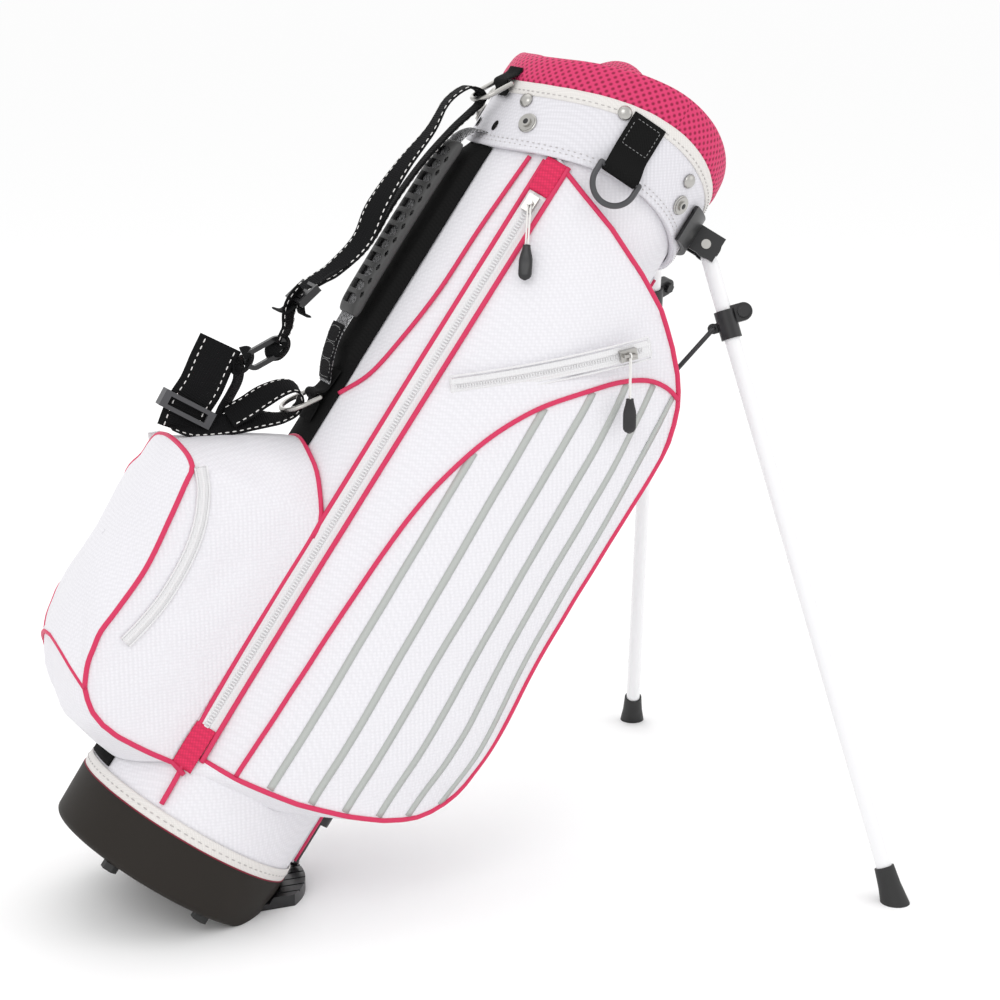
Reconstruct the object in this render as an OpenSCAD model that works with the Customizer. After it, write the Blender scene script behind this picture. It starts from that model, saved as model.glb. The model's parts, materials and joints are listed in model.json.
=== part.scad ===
// Junior golf stand bag: a round fabric tube with a rubber boot, zipped pockets, a carry grip,
// a shoulder strap and two legs that swing out when the bag leans on its foot plate.
// The bag is drawn upright about its own axis, then leaned over onto its legs.

/* [Bag] */
// Lean of the bag axis from the vertical, degrees
tilt = 35; // [35:1:36]
// Outer radius of the fabric tube
tube_r = 93; // [92.8:0.1:93]
// Outer radius of the rubber boot
boot_r = 95; // [95:0.1:96]
// Height of the rubber boot along the bag axis
boot_h = 46; // [44:1:48]
// Outer radius of the stiff cuff at the mouth
cuff_r = 99; // [98.8:0.1:99]
// Height of the cuff's lower edge at the spine
cuff_low = 637; // [634:1:638]
// Height of the cuff's upper edge at the spine
cuff_high = 695; // [694:1:698]
// How far the mouth rises at the two sides
rise = 28; // [24:1:29]
// Thickness of the tube wall
wall = 2.5; // [2:0.5:3]

/* [Pockets] */
// Thickness of the pocket fabric
cloth = 2.5; // [2:0.5:3]
// Radius of the side pocket's bulging panel
panel_r = 156.5; // [155:0.5:158]
// Half width of the ball pocket
ball_half = 66; // [64:1:67]
// Width of the long zip panel
zip_w = 17; // [15:1:17]

/* [Stand] */
// Outer radius of a leg tube
leg_r = 6.5; // [6:0.25:6.75]
// Distance of a foot from the boot, along the floor
foot_x = 555; // [550:1:560]
// Distance of a foot from the middle plane
foot_y = 242; // [238:1:246]
// Distance of the leg pivot from the bag axis, towards the legs
pivot_x = 106.4; // [106:0.1:107]
// Distance of the leg pivot from the middle plane
pivot_y = 44.7; // [44:0.1:45]
// Height of the leg pivot along the bag axis
pivot_s = 672; // [670:1:673]
// Distance from the leg pivot to the link pivot, along the leg
link_down = 68; // [66:1:70]
// Distance from the leg centre line to the link pivot
link_off = 12.5; // [12:0.5:13]
// Radius of the link wire
wire_r = 2; // [1.8:0.1:2]
// Height of the link wire's lower end along the bag axis
yoke_s = 290; // [286:1:294]

/* [Webbing] */
// Width of the carry grip
grip_w = 35; // [30:1:36]
// Width of the shoulder strap's wide webbing
strap_w = 36; // [34:1:38]
// Width of the shoulder strap's narrow webbing
narrow_w = 25; // [22:1:25]

/* [Hidden] */
$fn = 96;
big = 400;

// ---- Placing the leaning bag on the floor ----
contact_x = 51;                         // where the boot's flat heel starts, from the bag axis
base_h = contact_x * sin(tilt);
foot_reach = 11.95;                     // how far a rubber foot reaches past its centre
pocket_nose = [-190, 130];              // the ball pocket's lower front edge
span_low = pocket_nose[0] * cos(tilt) + pocket_nose[1] * sin(tilt);
span_high = foot_x + foot_reach;
centre_x = (span_low + span_high) / 2;

// Floor frame, before the move to the middle of the whole stand, to bag frame
function to_bag(p) = [p[0] * cos(tilt) - (p[2] - base_h) * sin(tilt), p[1],
    p[0] * sin(tilt) + (p[2] - base_h) * cos(tilt)];

module on_floor() {
    translate([-centre_x, 0, 0]) children();
}

module in_bag() {
    translate([-centre_x, 0, base_h]) rotate([0, tilt, 0]) children();
}

// Places children, drawn with Z along z_to and Y along y_to, at a point
function unit(v) = v / norm(v);
module frame_at(at, y_to, z_to) {
    z = unit(z_to);
    y = unit(y_to - (y_to * z) * z);
    x = cross(y, z);
    multmatrix([[x[0], y[0], z[0], at[0]], [x[1], y[1], z[1], at[1]], [x[2], y[2], z[2], at[2]]])
        children();
}

module both_sides() {
    children();
    mirror([0, 1, 0]) children();
}

// ---- Shared shapes ----
module ring(outer, inner, low, high) {
    translate([0, 0, low]) difference() {
        cylinder(r = outer, h = high - low);
        translate([0, 0, -1]) cylinder(r = inner, h = high - low + 2);
    }
}

// A point on a circle about the bag axis; angle 0 faces the right-hand side (-Y), + turns to the legs
function round_at(r, angle, s) = [r * sin(angle), -r * cos(angle), s];
module on_wall(r, angle, s) {
    translate([0, 0, s]) rotate([0, 0, angle]) translate([0, -r, 0]) children();
}

// Band between two heights that both rise towards the sides like the saddle of the mouth
saddle_steps = 24;
function saddle(y) = rise * pow(y / tube_r, 2);
module saddle_band(low, high) {
    half = tube_r + 14;
    ys = [for (i = [0 : saddle_steps]) -half + 2 * half * i / saddle_steps];
    outline = concat([for (y = ys) [y, low + saddle(y)]],
        [for (i = [saddle_steps : -1 : 0]) [ys[i], high + saddle(ys[i])]]);
    rotate([90, 0, 90]) translate([0, 0, -big / 2]) linear_extrude(big) polygon(outline);
}

// Arc of points about a centre
function arc(c, r, a0, a1, n = 8) =
    [for (i = [0 : n]) c + r * [cos(a0 + (a1 - a0) * i / n), sin(a0 + (a1 - a0) * i / n)]];

// Ribbon: a path in the X-S plane given an even thickness
function heading(p, i) = unit(p[min(i + 1, len(p) - 1)] - p[max(i - 1, 0)]);
function shifted(p, i, d) = p[i] + d * [-heading(p, i)[1], heading(p, i)[0]];
module ribbon(path, thick, width, at_y) {
    n = len(path) - 1;
    outline = concat([for (i = [0 : n]) shifted(path, i, thick / 2)],
        [for (i = [n : -1 : 0]) shifted(path, i, -thick / 2)]);
    translate([0, at_y + width / 2, 0]) rotate([90, 0, 0]) linear_extrude(width) polygon(outline);
}

// Extrudes an X-S outline across the bag
module across(half) {
    rotate([90, 0, 0]) translate([0, 0, -half]) linear_extrude(2 * half) children();
}

// ---- Base ----
boot_wall = 2.6;
boot_floor = 4;
bottom_round = 7;
heel_gap = 8.3;                         // floor to the boot above the foot plate
slot_half = 58;                         // half width of the boot's slot for the foot plate
slot_x = contact_x * cos(tilt) + 2;
hinge_floor_x = 51;                     // foot plate hinge, along the floor
hinge_z = 4.3;
foot_pin_r = 2;

module boot_outer() {
    rotate_extrude() polygon(concat([[0, 0]],
        arc([boot_r - bottom_round - 1, bottom_round], bottom_round, -90, 0),
        [[boot_r, boot_h], [0, boot_h]]));
}

module below_floor() {
    translate([-big, -big, -2 * big]) cube(2 * big);
}

module plate_slot(grow) {
    translate([slot_x - grow, -slot_half - grow, -big / 2])
        cube([big, 2 * (slot_half + grow), big / 2 + heel_gap + grow]);
}

// Floor of the flat heel and the walls round the plate's slot
module heel(grow) {
    translate([0, 0, boot_floor + grow]) below_floor();
    plate_slot(boot_wall + grow);
}

module base_boot() {
    lug_w = 7;
    color("#2f2c2a") on_floor() {
        difference() {
            rotated_boot() boot_outer();
            below_floor();
            plate_slot(0);
            difference() {
                rotated_boot() {
                    translate([0, 0, boot_floor]) cylinder(r = tube_r - wall - 0.4, h = boot_h);
                    translate([0, 0, 10]) cylinder(r = tube_r + 0.3, h = boot_h);
                }
                heel(0);
            }
        }
        for (y = [-slot_half, slot_half - lug_w])
            translate([hinge_floor_x - 4, y, 0.8]) difference() {
                cube([8, lug_w, heel_gap]);
                translate([4, -1, hinge_z - 0.8]) rotate([-90, 0, 0])
                    cylinder(r = foot_pin_r, h = lug_w + 2);
            }
    }
}

module rotated_boot() {
    translate([0, 0, base_h]) rotate([0, tilt, 0]) children();
}

module foot_pin() {
    color("silver") on_floor() translate([hinge_floor_x, slot_half, hinge_z]) rotate([90, 0, 0])
        cylinder(r = foot_pin_r, h = 2 * slot_half);
}

cleat_places = [[20, 78], [-60, 58], [-20, 40]];
module boot_cleats() {
    color("#1c1b1a") in_bag() both_sides() for (p = cleat_places)
        translate([p[0], -p[1], -6]) rotate([0, 0, 30]) cylinder(r = 7, h = 6, $fn = 6);
}

// ---- Tube ----
module tube_shell() {
    color("white") difference() {
        in_bag() difference() {
            intersection() {
                ring(tube_r, tube_r - wall, 10.2, big * 2);
                saddle_band(-big, cuff_high);
            }
            // slot under the cuff where the carry webbing enters at the spine
            translate([-tube_r - 5, -grip_w / 2, cuff_low + 6]) cube([10, grip_w, 6]);
        }
        on_floor() heel(0.2);
    }
}

stay_r = 3;
module stay_rods() {
    color("#d8d4c4") in_bag() for (angle = [-90, 30, 150])
        rotate([0, 0, angle]) translate([0, -(tube_r - wall - stay_r - 0.4), boot_floor + 8])
            cylinder(r = stay_r, h = cuff_high - 42, $fn = 32);
}

module base_binding() {
    color("ivory") in_bag() ring(tube_r + 1.1, tube_r + 0.1, boot_h + 0.2, boot_h + 12);
}

module backing_strip() {
    color("#e8e2d4") in_bag() intersection() {
        ring(tube_r + 3, tube_r + 0.1, 60, cuff_low - 8);
        translate([0, -28, 0]) cube([big, 56, big * 2]);
    }
}

// ---- Mouth ----
module cuff() {
    color("white") in_bag() difference() {
        intersection() {
            ring(cuff_r, tube_r + 0.1, cuff_low - 20, big * 2);
            saddle_band(cuff_low, cuff_high - 5);
        }
        translate([-cuff_r - 1, -grip_w / 2, cuff_low - 2]) cube([10, grip_w, 14]);
    }
}

module cuff_binding() {
    color("ivory") in_bag() intersection() {
        ring(cuff_r + 0.6, tube_r + 0.1, cuff_low, big * 2);
        saddle_band(cuff_high - 4.9, cuff_high);
    }
}

rim_h = 26;
module rim_pad() {
    color("hotpink") in_bag() intersection() {
        ring(cuff_r + 2, tube_r - wall - 3, cuff_low, big * 2);
        saddle_band(cuff_high + 0.1, cuff_high + rim_h);
    }
}

// Three-way divider: one arched bar across the mouth and one from its middle towards the legs
divider_x = -12;
divider_w = 20;
divider_top = 34;                       // arch above the rim at the middle
divider_r = tube_r - wall - 3.1;
module divider_arch(low, high) {
    top = cuff_high + rim_h + divider_top;
    sag = 46;
    outline = concat([for (i = [-10 : 10]) [divider_r * i / 10, top - sag * pow(i / 10, 2)]],
        [[divider_r, low], [-divider_r, low]]);
    rotate([90, 0, 90]) translate([0, 0, -big / 2]) linear_extrude(big) polygon(outline);
}

module top_divider() {
    color("hotpink") in_bag() intersection() {
        cylinder(r = divider_r, h = big * 2);
        divider_arch(cuff_high - 24, 0);
        union() {
            translate([divider_x - divider_w / 2, -big / 2, 0]) cube([divider_w, big, big * 2]);
            intersection() {
                translate([divider_x, -divider_w / 2, 0]) cube([big, divider_w, big * 2]);
                across(big / 2) polygon([[divider_x, cuff_high - 24], [big, cuff_high - 24],
                    [divider_r + 8, cuff_high + 4], [divider_x, cuff_high + rim_h + divider_top]]);
            }
        }
    }
}

rivet_places = [[-70, 683], [-24, 711], [23, 698]];
module cuff_rivets() {
    color("silver") in_bag() both_sides() for (p = rivet_places)
        on_wall(cuff_r + 0.02, p[0], p[1]) rotate([90, 0, 0]) rotate_extrude()
            polygon(concat([[0, 0]], arc([0, 0.4], 4.7, 0, 90)));
}

snap_places = [[-62, 667], [27, 679]];
module cuff_snaps() {
    color("silver") in_bag() both_sides() for (p = snap_places)
        on_wall(cuff_r + 0.02, p[0], p[1]) rotate([90, 0, 0]) difference() {
            union() {
                cylinder(r = 7.2, h = 1.8);
                cylinder(r = 4, h = 3.4);
            }
            translate([0, 0, 1]) cylinder(r = 2, h = 4);
        }
}

// ---- Towel ring on its tab ----
towel_angle = -12;
towel_high = 716;
towel_low = 668;
towel_bar_r = 2.4;
towel_bar_at = cuff_r + 6;
module towel_tab() {
    color("#181818") in_bag() on_wall(0, towel_angle, 0) translate([-15, 0, 0]) difference() {
        union() {
            translate([0, -cuff_r - 3.1, towel_low + 2]) cube([30, 3, towel_high - towel_low]);
            translate([0, -towel_bar_at, towel_low]) rotate([0, 90, 0]) cylinder(r = 4.6, h = 30);
        }
        translate([-1, -towel_bar_at, towel_low]) rotate([0, 90, 0])
            cylinder(r = towel_bar_r + 0.05, h = 32);
        translate([-1, -cuff_r - 0.1, 0]) cube([32, 20, big * 2]);
    }
}

module towel_ring() {
    ring_half = 18;
    drop = 17;
    color("#3a3a3c") in_bag() on_wall(towel_bar_at, towel_angle, towel_low) rotate([90, 0, 0]) {
        translate([-ring_half, 0, 0]) rotate([0, 90, 0]) cylinder(r = towel_bar_r, h = 2 * ring_half);
        for (x = [-ring_half, ring_half]) {
            translate([x, 0, 0]) sphere(r = towel_bar_r);
            translate([x, -drop + ring_half / 2, 0]) rotate([-90, 0, 0])
                cylinder(r = towel_bar_r, h = drop - ring_half / 2);
        }
        translate([0, -drop + ring_half / 2, 0]) rotate([0, 0, 180])
            rotate_extrude(angle = 180) translate([ring_half, 0]) circle(r = towel_bar_r);
    }
}

// ---- Spine, rings, carry grip ----
spine_half = 22;
module spine_strip() {
    color("#161616") in_bag() intersection() {
        ring(tube_r + 2, tube_r + 0.1, 60, cuff_low - 1);
        translate([-big, -spine_half, 0]) cube([big, 2 * spine_half, big * 2]);
    }
}

ring_wire = 2;
ring_half = 15;
ring_upper = [-103.5, 690];
ring_upper_lean = 30;
ring_lower = [-100.5, 397];
ring_lower_lean = 35;
loop_in = 6;
loop_out = 8;
loop_w = 12;

// D-shaped ring: bar along Y at the origin, bow towards -Z
module d_ring() {
    color("silver") {
        translate([0, ring_half, 0]) rotate([90, 0, 0]) cylinder(r = ring_wire, h = 2 * ring_half);
        for (y = [-ring_half, ring_half]) {
            translate([0, y, 0]) sphere(r = ring_wire, $fn = 32);
            translate([0, y, -14]) cylinder(r = ring_wire, h = 14);
        }
        translate([0, 0, -14]) rotate([0, 90, 0]) rotate_extrude(angle = 90)
            translate([ring_half, 0]) circle(r = ring_wire, $fn = 32);
        translate([0, 0, -14]) rotate([0, 90, 0]) rotate([0, 0, -90]) rotate_extrude(angle = 90)
            translate([ring_half, 0]) circle(r = ring_wire, $fn = 32);
    }
}

module at_ring(place, lean) {
    translate([place[0], 0, place[1]]) rotate([0, lean, 0]) children();
}
ring_drop = 14 + ring_half;
function ring_tip(place, lean) = place + ring_drop * [-sin(lean), -cos(lean)];

module d_ring_upper() {
    in_bag() at_ring(ring_upper, ring_upper_lean) d_ring();
}

module d_ring_lower() {
    in_bag() at_ring(ring_lower, ring_lower_lean) d_ring();
}

module ring_tabs() {
    tab_w = 24;
    color("#161616") in_bag() for (t = [[ring_upper, -15.2, 2.8], [ring_lower, -2, 3.9]])
        translate([t[0][0], tab_w / 2, t[0][1]]) rotate([90, 0, 0]) difference() {
            union() {
                cylinder(r = 3.8, h = tab_w);
                translate([1.4, t[1], 0]) cube([t[2], 14, tab_w]);
            }
            translate([0, 0, -1]) cylinder(r = ring_wire + 0.1, h = tab_w + 2);
        }
}

grip_low = 466;
grip_high = 628;
grip_x = -114;
grip_t = 10;
handle_path = [[-97.5, 646], [-104, 645], [-110, 638], [-113, 628], [-114.5, 600], [-115, 547],
    [-114.5, 490], [-113, 466], [-112, 445], [-106, 425], [-98.5, 412]];
module handle_webbing() {
    color("#5c5c60") in_bag() ribbon(handle_path, 2, 26, 0);
}

// Moulded grip wrapped over the webbing, pierced by two rows of holes
module handle_grip() {
    holes = 11;
    pitch = (grip_high - grip_low) / holes;
    core = [for (p = handle_path) if (p[1] <= grip_high && p[1] >= grip_low) p];
    color("#4a4a4c") in_bag() difference() {
        ribbon(core, grip_t, grip_w, 0);
        ribbon(handle_path, 2.2, 26.2, 0);
        for (i = [0 : holes - 1])
            translate([grip_x - 20, (i % 2 == 0 ? 5 : -5), grip_low + pitch * (i + 0.5)])
                rotate([0, 90, 0]) cylinder(r = 3.6, h = 40, $fn = 24);
    }
}

// ---- Shoulder strap ----
upper_tip = ring_tip(ring_upper, ring_upper_lean);
lower_tip = ring_tip(ring_lower, ring_lower_lean);
glide_at = [-154, 460];
oval_at = [-154.5, 404];
buckle_at = [-186, 334];
upper_path = [upper_tip + [-7.5, 1], [-131, 660], [-137, 645], [-136, 621], [-139, 584], [-139, 551],
    [-137, 519], [-143, 490], [-150, 474]];
joiner_path = [[-157, 450], [-156, 438], [-151, 428], [-149, 420]];
wide_across = strap_w / 2 * [cos(9), sin(9)];
wide_top = [-189.5, 391];
wide_low = [-185.7, 326];
wide_outline = [wide_top - wide_across, wide_top + wide_across, [-165, 383], [-164, 371], [-168, 350],
    wide_low + [strap_w / 2, 1], wide_low - [strap_w / 2, 1]];
lower_path = [[-194, 320], [-178, 321.5], [-160, 325.5], [-146, 337], [-134, 350],
    lower_tip + [-5.6, -4.4]];

module webbing_loop(at) {
    translate([at[0], loop_w / 2, at[1]]) rotate([90, 0, 0]) difference() {
        cylinder(r = loop_out, h = loop_w);
        translate([0, 0, -1]) cylinder(r = loop_in, h = loop_w + 2);
    }
}

module strap_upper() {
    color("#161616") in_bag() difference() {
        union() {
            webbing_loop(upper_tip);
            ribbon(upper_path, 4, narrow_w, 0);
        }
        translate([upper_tip[0], 20, upper_tip[1]]) rotate([90, 0, 0]) cylinder(r = loop_in, h = 40);
    }
}

module tri_glide() {
    color("#202022") in_bag() translate([glide_at[0], 0, glide_at[1]]) rotate([0, 15, 0])
        difference() {
            translate([-3, -17, -10]) cube([6, 34, 20]);
            for (z = [-5, 5])
                translate([-5, -13.5, z - 2.2]) cube([10, 27, 4.4]);
        }
}

module strap_joiner() {
    color("#161616") in_bag() difference() {
        ribbon(joiner_path, 3, narrow_w, 0);
        translate([glide_at[0], 0, glide_at[1]]) rotate([0, 15, 0])
            translate([-6, -20, -10.3]) cube([12, 40, 30]);
        oval_space(0.3);
    }
}

// Oval ring that joins the narrow and the wide webbing, standing in the plane of the lean
oval_long = 38;
oval_wide = 17;
module oval_space(grow) {
    translate([oval_at[0], 2.2 + grow, oval_at[1]]) rotate([0, 30, 0]) rotate([90, 0, 0])
        linear_extrude(4.4 + 2 * grow) slot_shape(oval_wide / 2 + grow, oval_long / 2 - oval_wide / 2);
}

module slot_shape(r, half) {
    for (z = [-half, half]) translate([0, z]) circle(r = r);
    translate([-r, -half]) square([2 * r, 2 * half]);
}

module oval_ring() {
    color("#202022") in_bag() difference() {
        oval_space(0);
        translate([oval_at[0], 5, oval_at[1]]) rotate([0, 30, 0]) rotate([90, 0, 0])
            linear_extrude(10) slot_shape(oval_wide / 2 - 3.8, oval_long / 2 - oval_wide / 2);
    }
}

wide_t = 4.5;
module strap_wide() {
    color("#161616") in_bag() difference() {
        across(wide_t / 2) polygon(wide_outline);
        oval_space(0.3);
    }
}

// Slider frame round the wide webbing
module slider_buckle() {
    color("#3a3a3c") in_bag() translate([buckle_at[0], 0, buckle_at[1]]) rotate([0, -4, 0]) difference() {
        translate([-23, -5, -7]) cube([46, 10, 14]);
        translate([-20, -wide_t / 2 - 0.3, -8]) cube([40, wide_t + 0.6, 16]);
        translate([-17, -10, -3.5]) cube([34, 20, 7]);
    }
}

module strap_lower() {
    color("#161616") in_bag() difference() {
        union() {
            webbing_loop(lower_tip);
            ribbon(lower_path, 4, loop_w, 0);
        }
        translate([lower_tip[0], 20, lower_tip[1]]) rotate([90, 0, 0]) cylinder(r = loop_in, h = 40);
    }
}

// ---- Pockets ----
pocket_gap = 0.5;
panel_centre = [62.8, 26.4];
corner_in = [80, -50];                  // where the gusset meets the tube, beside the folded leg
gusset_run = [52, -64];                 // direction of the gusset, away from the tube
gusset_n = unit([64, 52]);

module side_section(inset) {
    far = corner_in + gusset_run * 2;
    intersection() {
        translate(panel_centre) circle(r = panel_r - inset, $fn = 180);
        translate(-inset * gusset_n) polygon([[-40, -40], [-130, far[1]], far, corner_in]);
    }
}

// X-S outline of the side pocket's panel
function side_outline(e) = concat(
    [[-120, 672 - e], [50, 611 - e]],
    arc([60, 540], 74 - e, 78, 14, 6),
    [[133.5 - e, 470], [134 - e, 400], [134 - e, 240]],
    arc([90, 184], 45 - e, 10, -80, 6),
    [[-120, 98 + e]]);

// The panel thins towards the mouth, down to nothing along its sloping top edge
taper_at = [-10, -96, 645];
taper_run = [1, 0, -0.36];
taper_n = unit([11, -117, 33]);
module side_pocket_body(inset) {
    difference() {
        intersection() {
            translate([0, 0, 60]) linear_extrude(640) side_section(inset);
            across(big / 2) polygon(side_outline(inset));
        }
        frame_at(taper_at - inset * taper_n, taper_run, taper_n)
            translate([-big, -big, 0]) cube(2 * big);
    }
}

module side_pocket() {
    color("white") in_bag() difference() {
        side_pocket_body(0);
        cylinder(r = tube_r + pocket_gap, h = big * 3);
        difference() {
            side_pocket_body(cloth);
            cylinder(r = tube_r + pocket_gap + cloth, h = big * 3);
        }
        zip_bed(0.3);
    }
}

zip_angle = -39;
zip_low = 112;
zip_high = 632;
teeth_h = 1.1;
teeth_half = 2.1;
zip_face = tube_r + 2.8;                // radius of the zip tape's outer face
module zip_bed(grow) {
    on_wall(zip_face, zip_angle, zip_low - grow) translate([-zip_w / 2 - grow, -grow, 0])
        cube([zip_w + 2 * grow, 4.4 + 2 * grow, zip_high - zip_low + 2 * grow]);
}

module main_zip() {
    color("#f4f4f4") in_bag() difference() {
        union() {
            zip_bed(0);
            on_wall(zip_face + teeth_h, zip_angle, zip_low + 10) translate([-teeth_half, 0, 0])
                cube([2 * teeth_half, 2, zip_high - zip_low - 20]);
        }
        cylinder(r = tube_r + 0.15, h = big * 3, $fn = 360);
    }
}

module side_pocket_right() {
    difference() {
        side_pocket();
        in_bag() small_zip_bed(0.3, 8);
    }
}

// Zip slider, drawn on the zip's face with -Y outwards: a channel that runs over the teeth
slider_gap = 0.4;
slider_top = 5;
slider_half = 4.5;
slider_pin_r = 1.3;
pull_t = 3;
pin_out = slider_top + 0.4 + pull_t / 2;    // headed pin through a flat eye
eye_r = 2.4;
bar_out = slider_top + 0.4 + eye_r;         // bar through a round eye
module slider_block() {
    difference() {
        translate([-slider_half, -slider_top, -7]) cube([2 * slider_half, slider_top - slider_gap, 14]);
        translate([-teeth_half - slider_gap, -teeth_h - slider_gap, -8])
            cube([2 * (teeth_half + slider_gap), 4, 16]);
    }
}

// Pull, hanging along -Z from its eye, flat across Y
module pull_tab() {
    color("white") translate([-2.2, -1, -36]) cube([4.4, 2, 34]);
    color("#141414") {
        translate([-5.5, -3, -57]) cube([11, 6, 23]);
        translate([0, 3, -57]) rotate([90, 0, 0]) cylinder(r = 5.5, h = 6);
    }
}

gravity = [sin(tilt), 0, -cos(tilt)];   // straight down, in the bag frame
function across_of(v, n) = v - (v * n) * n;
slider_s = 612;
wall_n = round_at(1, zip_angle, 0);
module main_slider() {
    color("silver") in_bag() on_wall(zip_face, zip_angle, slider_s) {
        slider_block();
        translate([0, -pin_out - pull_t / 2 - 0.3, 0]) rotate([-90, 0, 0]) {
            cylinder(r = slider_pin_r, h = pull_t + 1);
            translate([0, 0, -1]) cylinder(r = 2.6, h = 1.01);
        }
    }
}

module main_pull() {
    in_bag() frame_at((zip_face + pin_out) * wall_n + [0, 0, slider_s], -wall_n,
        -across_of(gravity, wall_n)) difference() {
            union() {
                color("white") translate([0, pull_t / 2, 0]) rotate([90, 0, 0])
                    cylinder(r = 3.4, h = pull_t);
                pull_tab();
            }
            translate([0, 10, 0]) rotate([90, 0, 0]) cylinder(r = slider_pin_r + 0.06, h = 20);
        }
}

// Small zip across the right side pocket's panel, on an arc in a sloping plane
small_slope = 45;
small_r = 296;
small_half = 6;
small_from = -120.4;
small_to = -89;
small_at = -93;
small_vertex = [panel_centre[0], panel_centre[1] - panel_r, 562.8];
small_centre = small_vertex + [0, small_r, 0];
small_t = [cos(small_slope), 0, sin(small_slope)];
small_axis = [-sin(small_slope), 0, cos(small_slope)];
small_n = cos(small_at) * small_t + [0, sin(small_at), 0];
module small_arc(r0, r1, half, from, to) {
    frame_at(small_centre, [0, 1, 0], small_axis) rotate([0, 0, from])
        rotate_extrude(angle = to - from, $fn = 360) translate([r0, -half]) square([r1 - r0, 2 * half]);
}

small_face = small_r + 1.2;
module small_zip_bed(grow, above = 0) {
    pad = grow * 180 / PI / small_r;
    small_arc(small_r - 1 - grow, small_face + grow + above, small_half + grow,
        small_from - pad, small_to + pad);
}

module small_zip() {
    color("#f4f4f4") in_bag() {
        small_zip_bed(0);
        small_arc(small_r, small_face + teeth_h, teeth_half, small_from + 1, small_to - 1);
    }
}

// Frame of the small pull: origin on the slider's bar, X along it, Z up the pull
module at_bar() {
    in_bag() frame_at(small_centre + (small_face + 0.2 + bar_out) * small_n, -small_n,
        -across_of(gravity, small_n)) children();
}

module small_slider() {
    bar_half = 5.6;
    post_t = 1.4;
    color("silver") {
        in_bag() frame_at(small_centre, [0, 1, 0], small_axis) rotate([0, 0, small_at + 90])
            translate([0, -small_face - 0.2, 0]) rotate([0, 90, 0]) slider_block();
        at_bar() {
            translate([-bar_half, 0, 0]) rotate([0, 90, 0]) cylinder(r = slider_pin_r, h = 2 * bar_half);
            for (x = [-bar_half, bar_half - post_t])
                translate([x, -slider_pin_r, -slider_pin_r])
                    cube([post_t, slider_pin_r + bar_out - slider_top + 0.5, 2 * slider_pin_r]);
        }
    }
}

module small_pull() {
    eye_half = 3;
    at_bar() difference() {
        union() {
            color("white") translate([-eye_half, 0, 0]) rotate([0, 90, 0])
                cylinder(r = eye_r, h = 2 * eye_half);
            pull_tab();
        }
        translate([-10, 0, 0]) rotate([0, 90, 0]) cylinder(r = slider_pin_r + 0.06, h = 20);
    }
}

// X-S outline of the ball pocket, from the tube down round the front and back up
function ball_outline(e) = [[-60, 366 - e], [-95, 357 - e], [-125, 341 - e], [-158, 321 - e],
    [-180, 314 - e], [-190 + e, 309 - e], [-198 + e, 296], [-200 + e, 270], [-200 + e, 200],
    [-196 + e, 160], pocket_nose + [e, e], [-166, 106 + e], [-148, 86 + e], [-125, 73 + e],
    [-95, 64 + e], [-60, 58 + e]];
function ball_front(e) = concat([[-ball_half + e, 100], [-ball_half + 16, 80 + e], [0, 56 + e],
    [ball_half - 16, 80 + e], [ball_half - e, 100]],
    arc([ball_half - 40 - e, 312], 40, 0, 60, 5), [[0, 372 - e]],
    arc([-ball_half + 40 + e, 312], 40, 120, 180, 5));
front_r = 170;

module ball_body(inset) {
    intersection() {
        across(big / 2) polygon(ball_outline(inset));
        rotate([90, 0, 90]) translate([0, 0, -big]) linear_extrude(big) polygon(ball_front(inset));
        translate([front_r - 200, 0, 0]) cylinder(r = front_r - inset, h = big, $fn = 180);
    }
}

module ball_pocket() {
    color("white") in_bag() difference() {
        ball_body(0);
        cylinder(r = tube_r + 2.6, h = big);
        difference() {
            ball_body(cloth);
            cylinder(r = tube_r + 2.6 + cloth, h = big);
        }
        both_sides() zip_bed(0.5);
        ball_zip_strip(0.3);
    }
}

ball_zip_path = [[-160, 290], [-151, 262], [-145, 235], [-144, 195], [-149, 158]];
module ball_zip_strip(grow) {
    ribbon(ball_zip_path, 9 + 2 * grow, 1.6 + 2 * grow, -ball_half);
}

module ball_zip() {
    color("#f4f4f4") in_bag() ball_zip_strip(0);
}

// ---- Stand: bracket, legs, clamps, links ----
pivot = [pivot_x, -pivot_y, pivot_s];
foot_point = to_bag([foot_x, -foot_y, 0]);
leg_len = norm(foot_point - pivot);
leg_d = unit(foot_point - pivot);
leg_a = unit(cross(leg_d, [0, 0, -1])); // hinge axis
pin_r = 2.5;
plug_w = 13;
ear_t = 3;

module in_leg() {
    in_bag() frame_at(pivot, leg_a, leg_d) children();
}

module leg_plug() {
    color("#222222") in_leg() difference() {
        union() {
            translate([0, plug_w / 2, 0]) rotate([90, 0, 0]) cylinder(r = 8.3, h = plug_w);
            cylinder(r = leg_r - 1.1, h = 26);
        }
        translate([0, plug_w, 0]) rotate([90, 0, 0]) cylinder(r = pin_r + 0.05, h = 2 * plug_w);
    }
}

module leg_tube() {
    color("white") in_leg() ring(leg_r, leg_r - 1, 8.8, leg_len - 16);
}

module leg_foot() {
    color("#1a1a1a") intersection() {
        in_leg() difference() {
            rotate_extrude() polygon([[0, leg_len - 30], [8.2, leg_len - 30], [9.4, leg_len - 14],
                [11.8, leg_len + 2], [12.4, leg_len + 10], [0, leg_len + 10]]);
            translate([0, 0, leg_len - 40]) cylinder(r = leg_r + 0.05, h = 24.05);
        }
        translate([-2 * big, -2 * big, 0]) cube(4 * big);
    }
}

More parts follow.
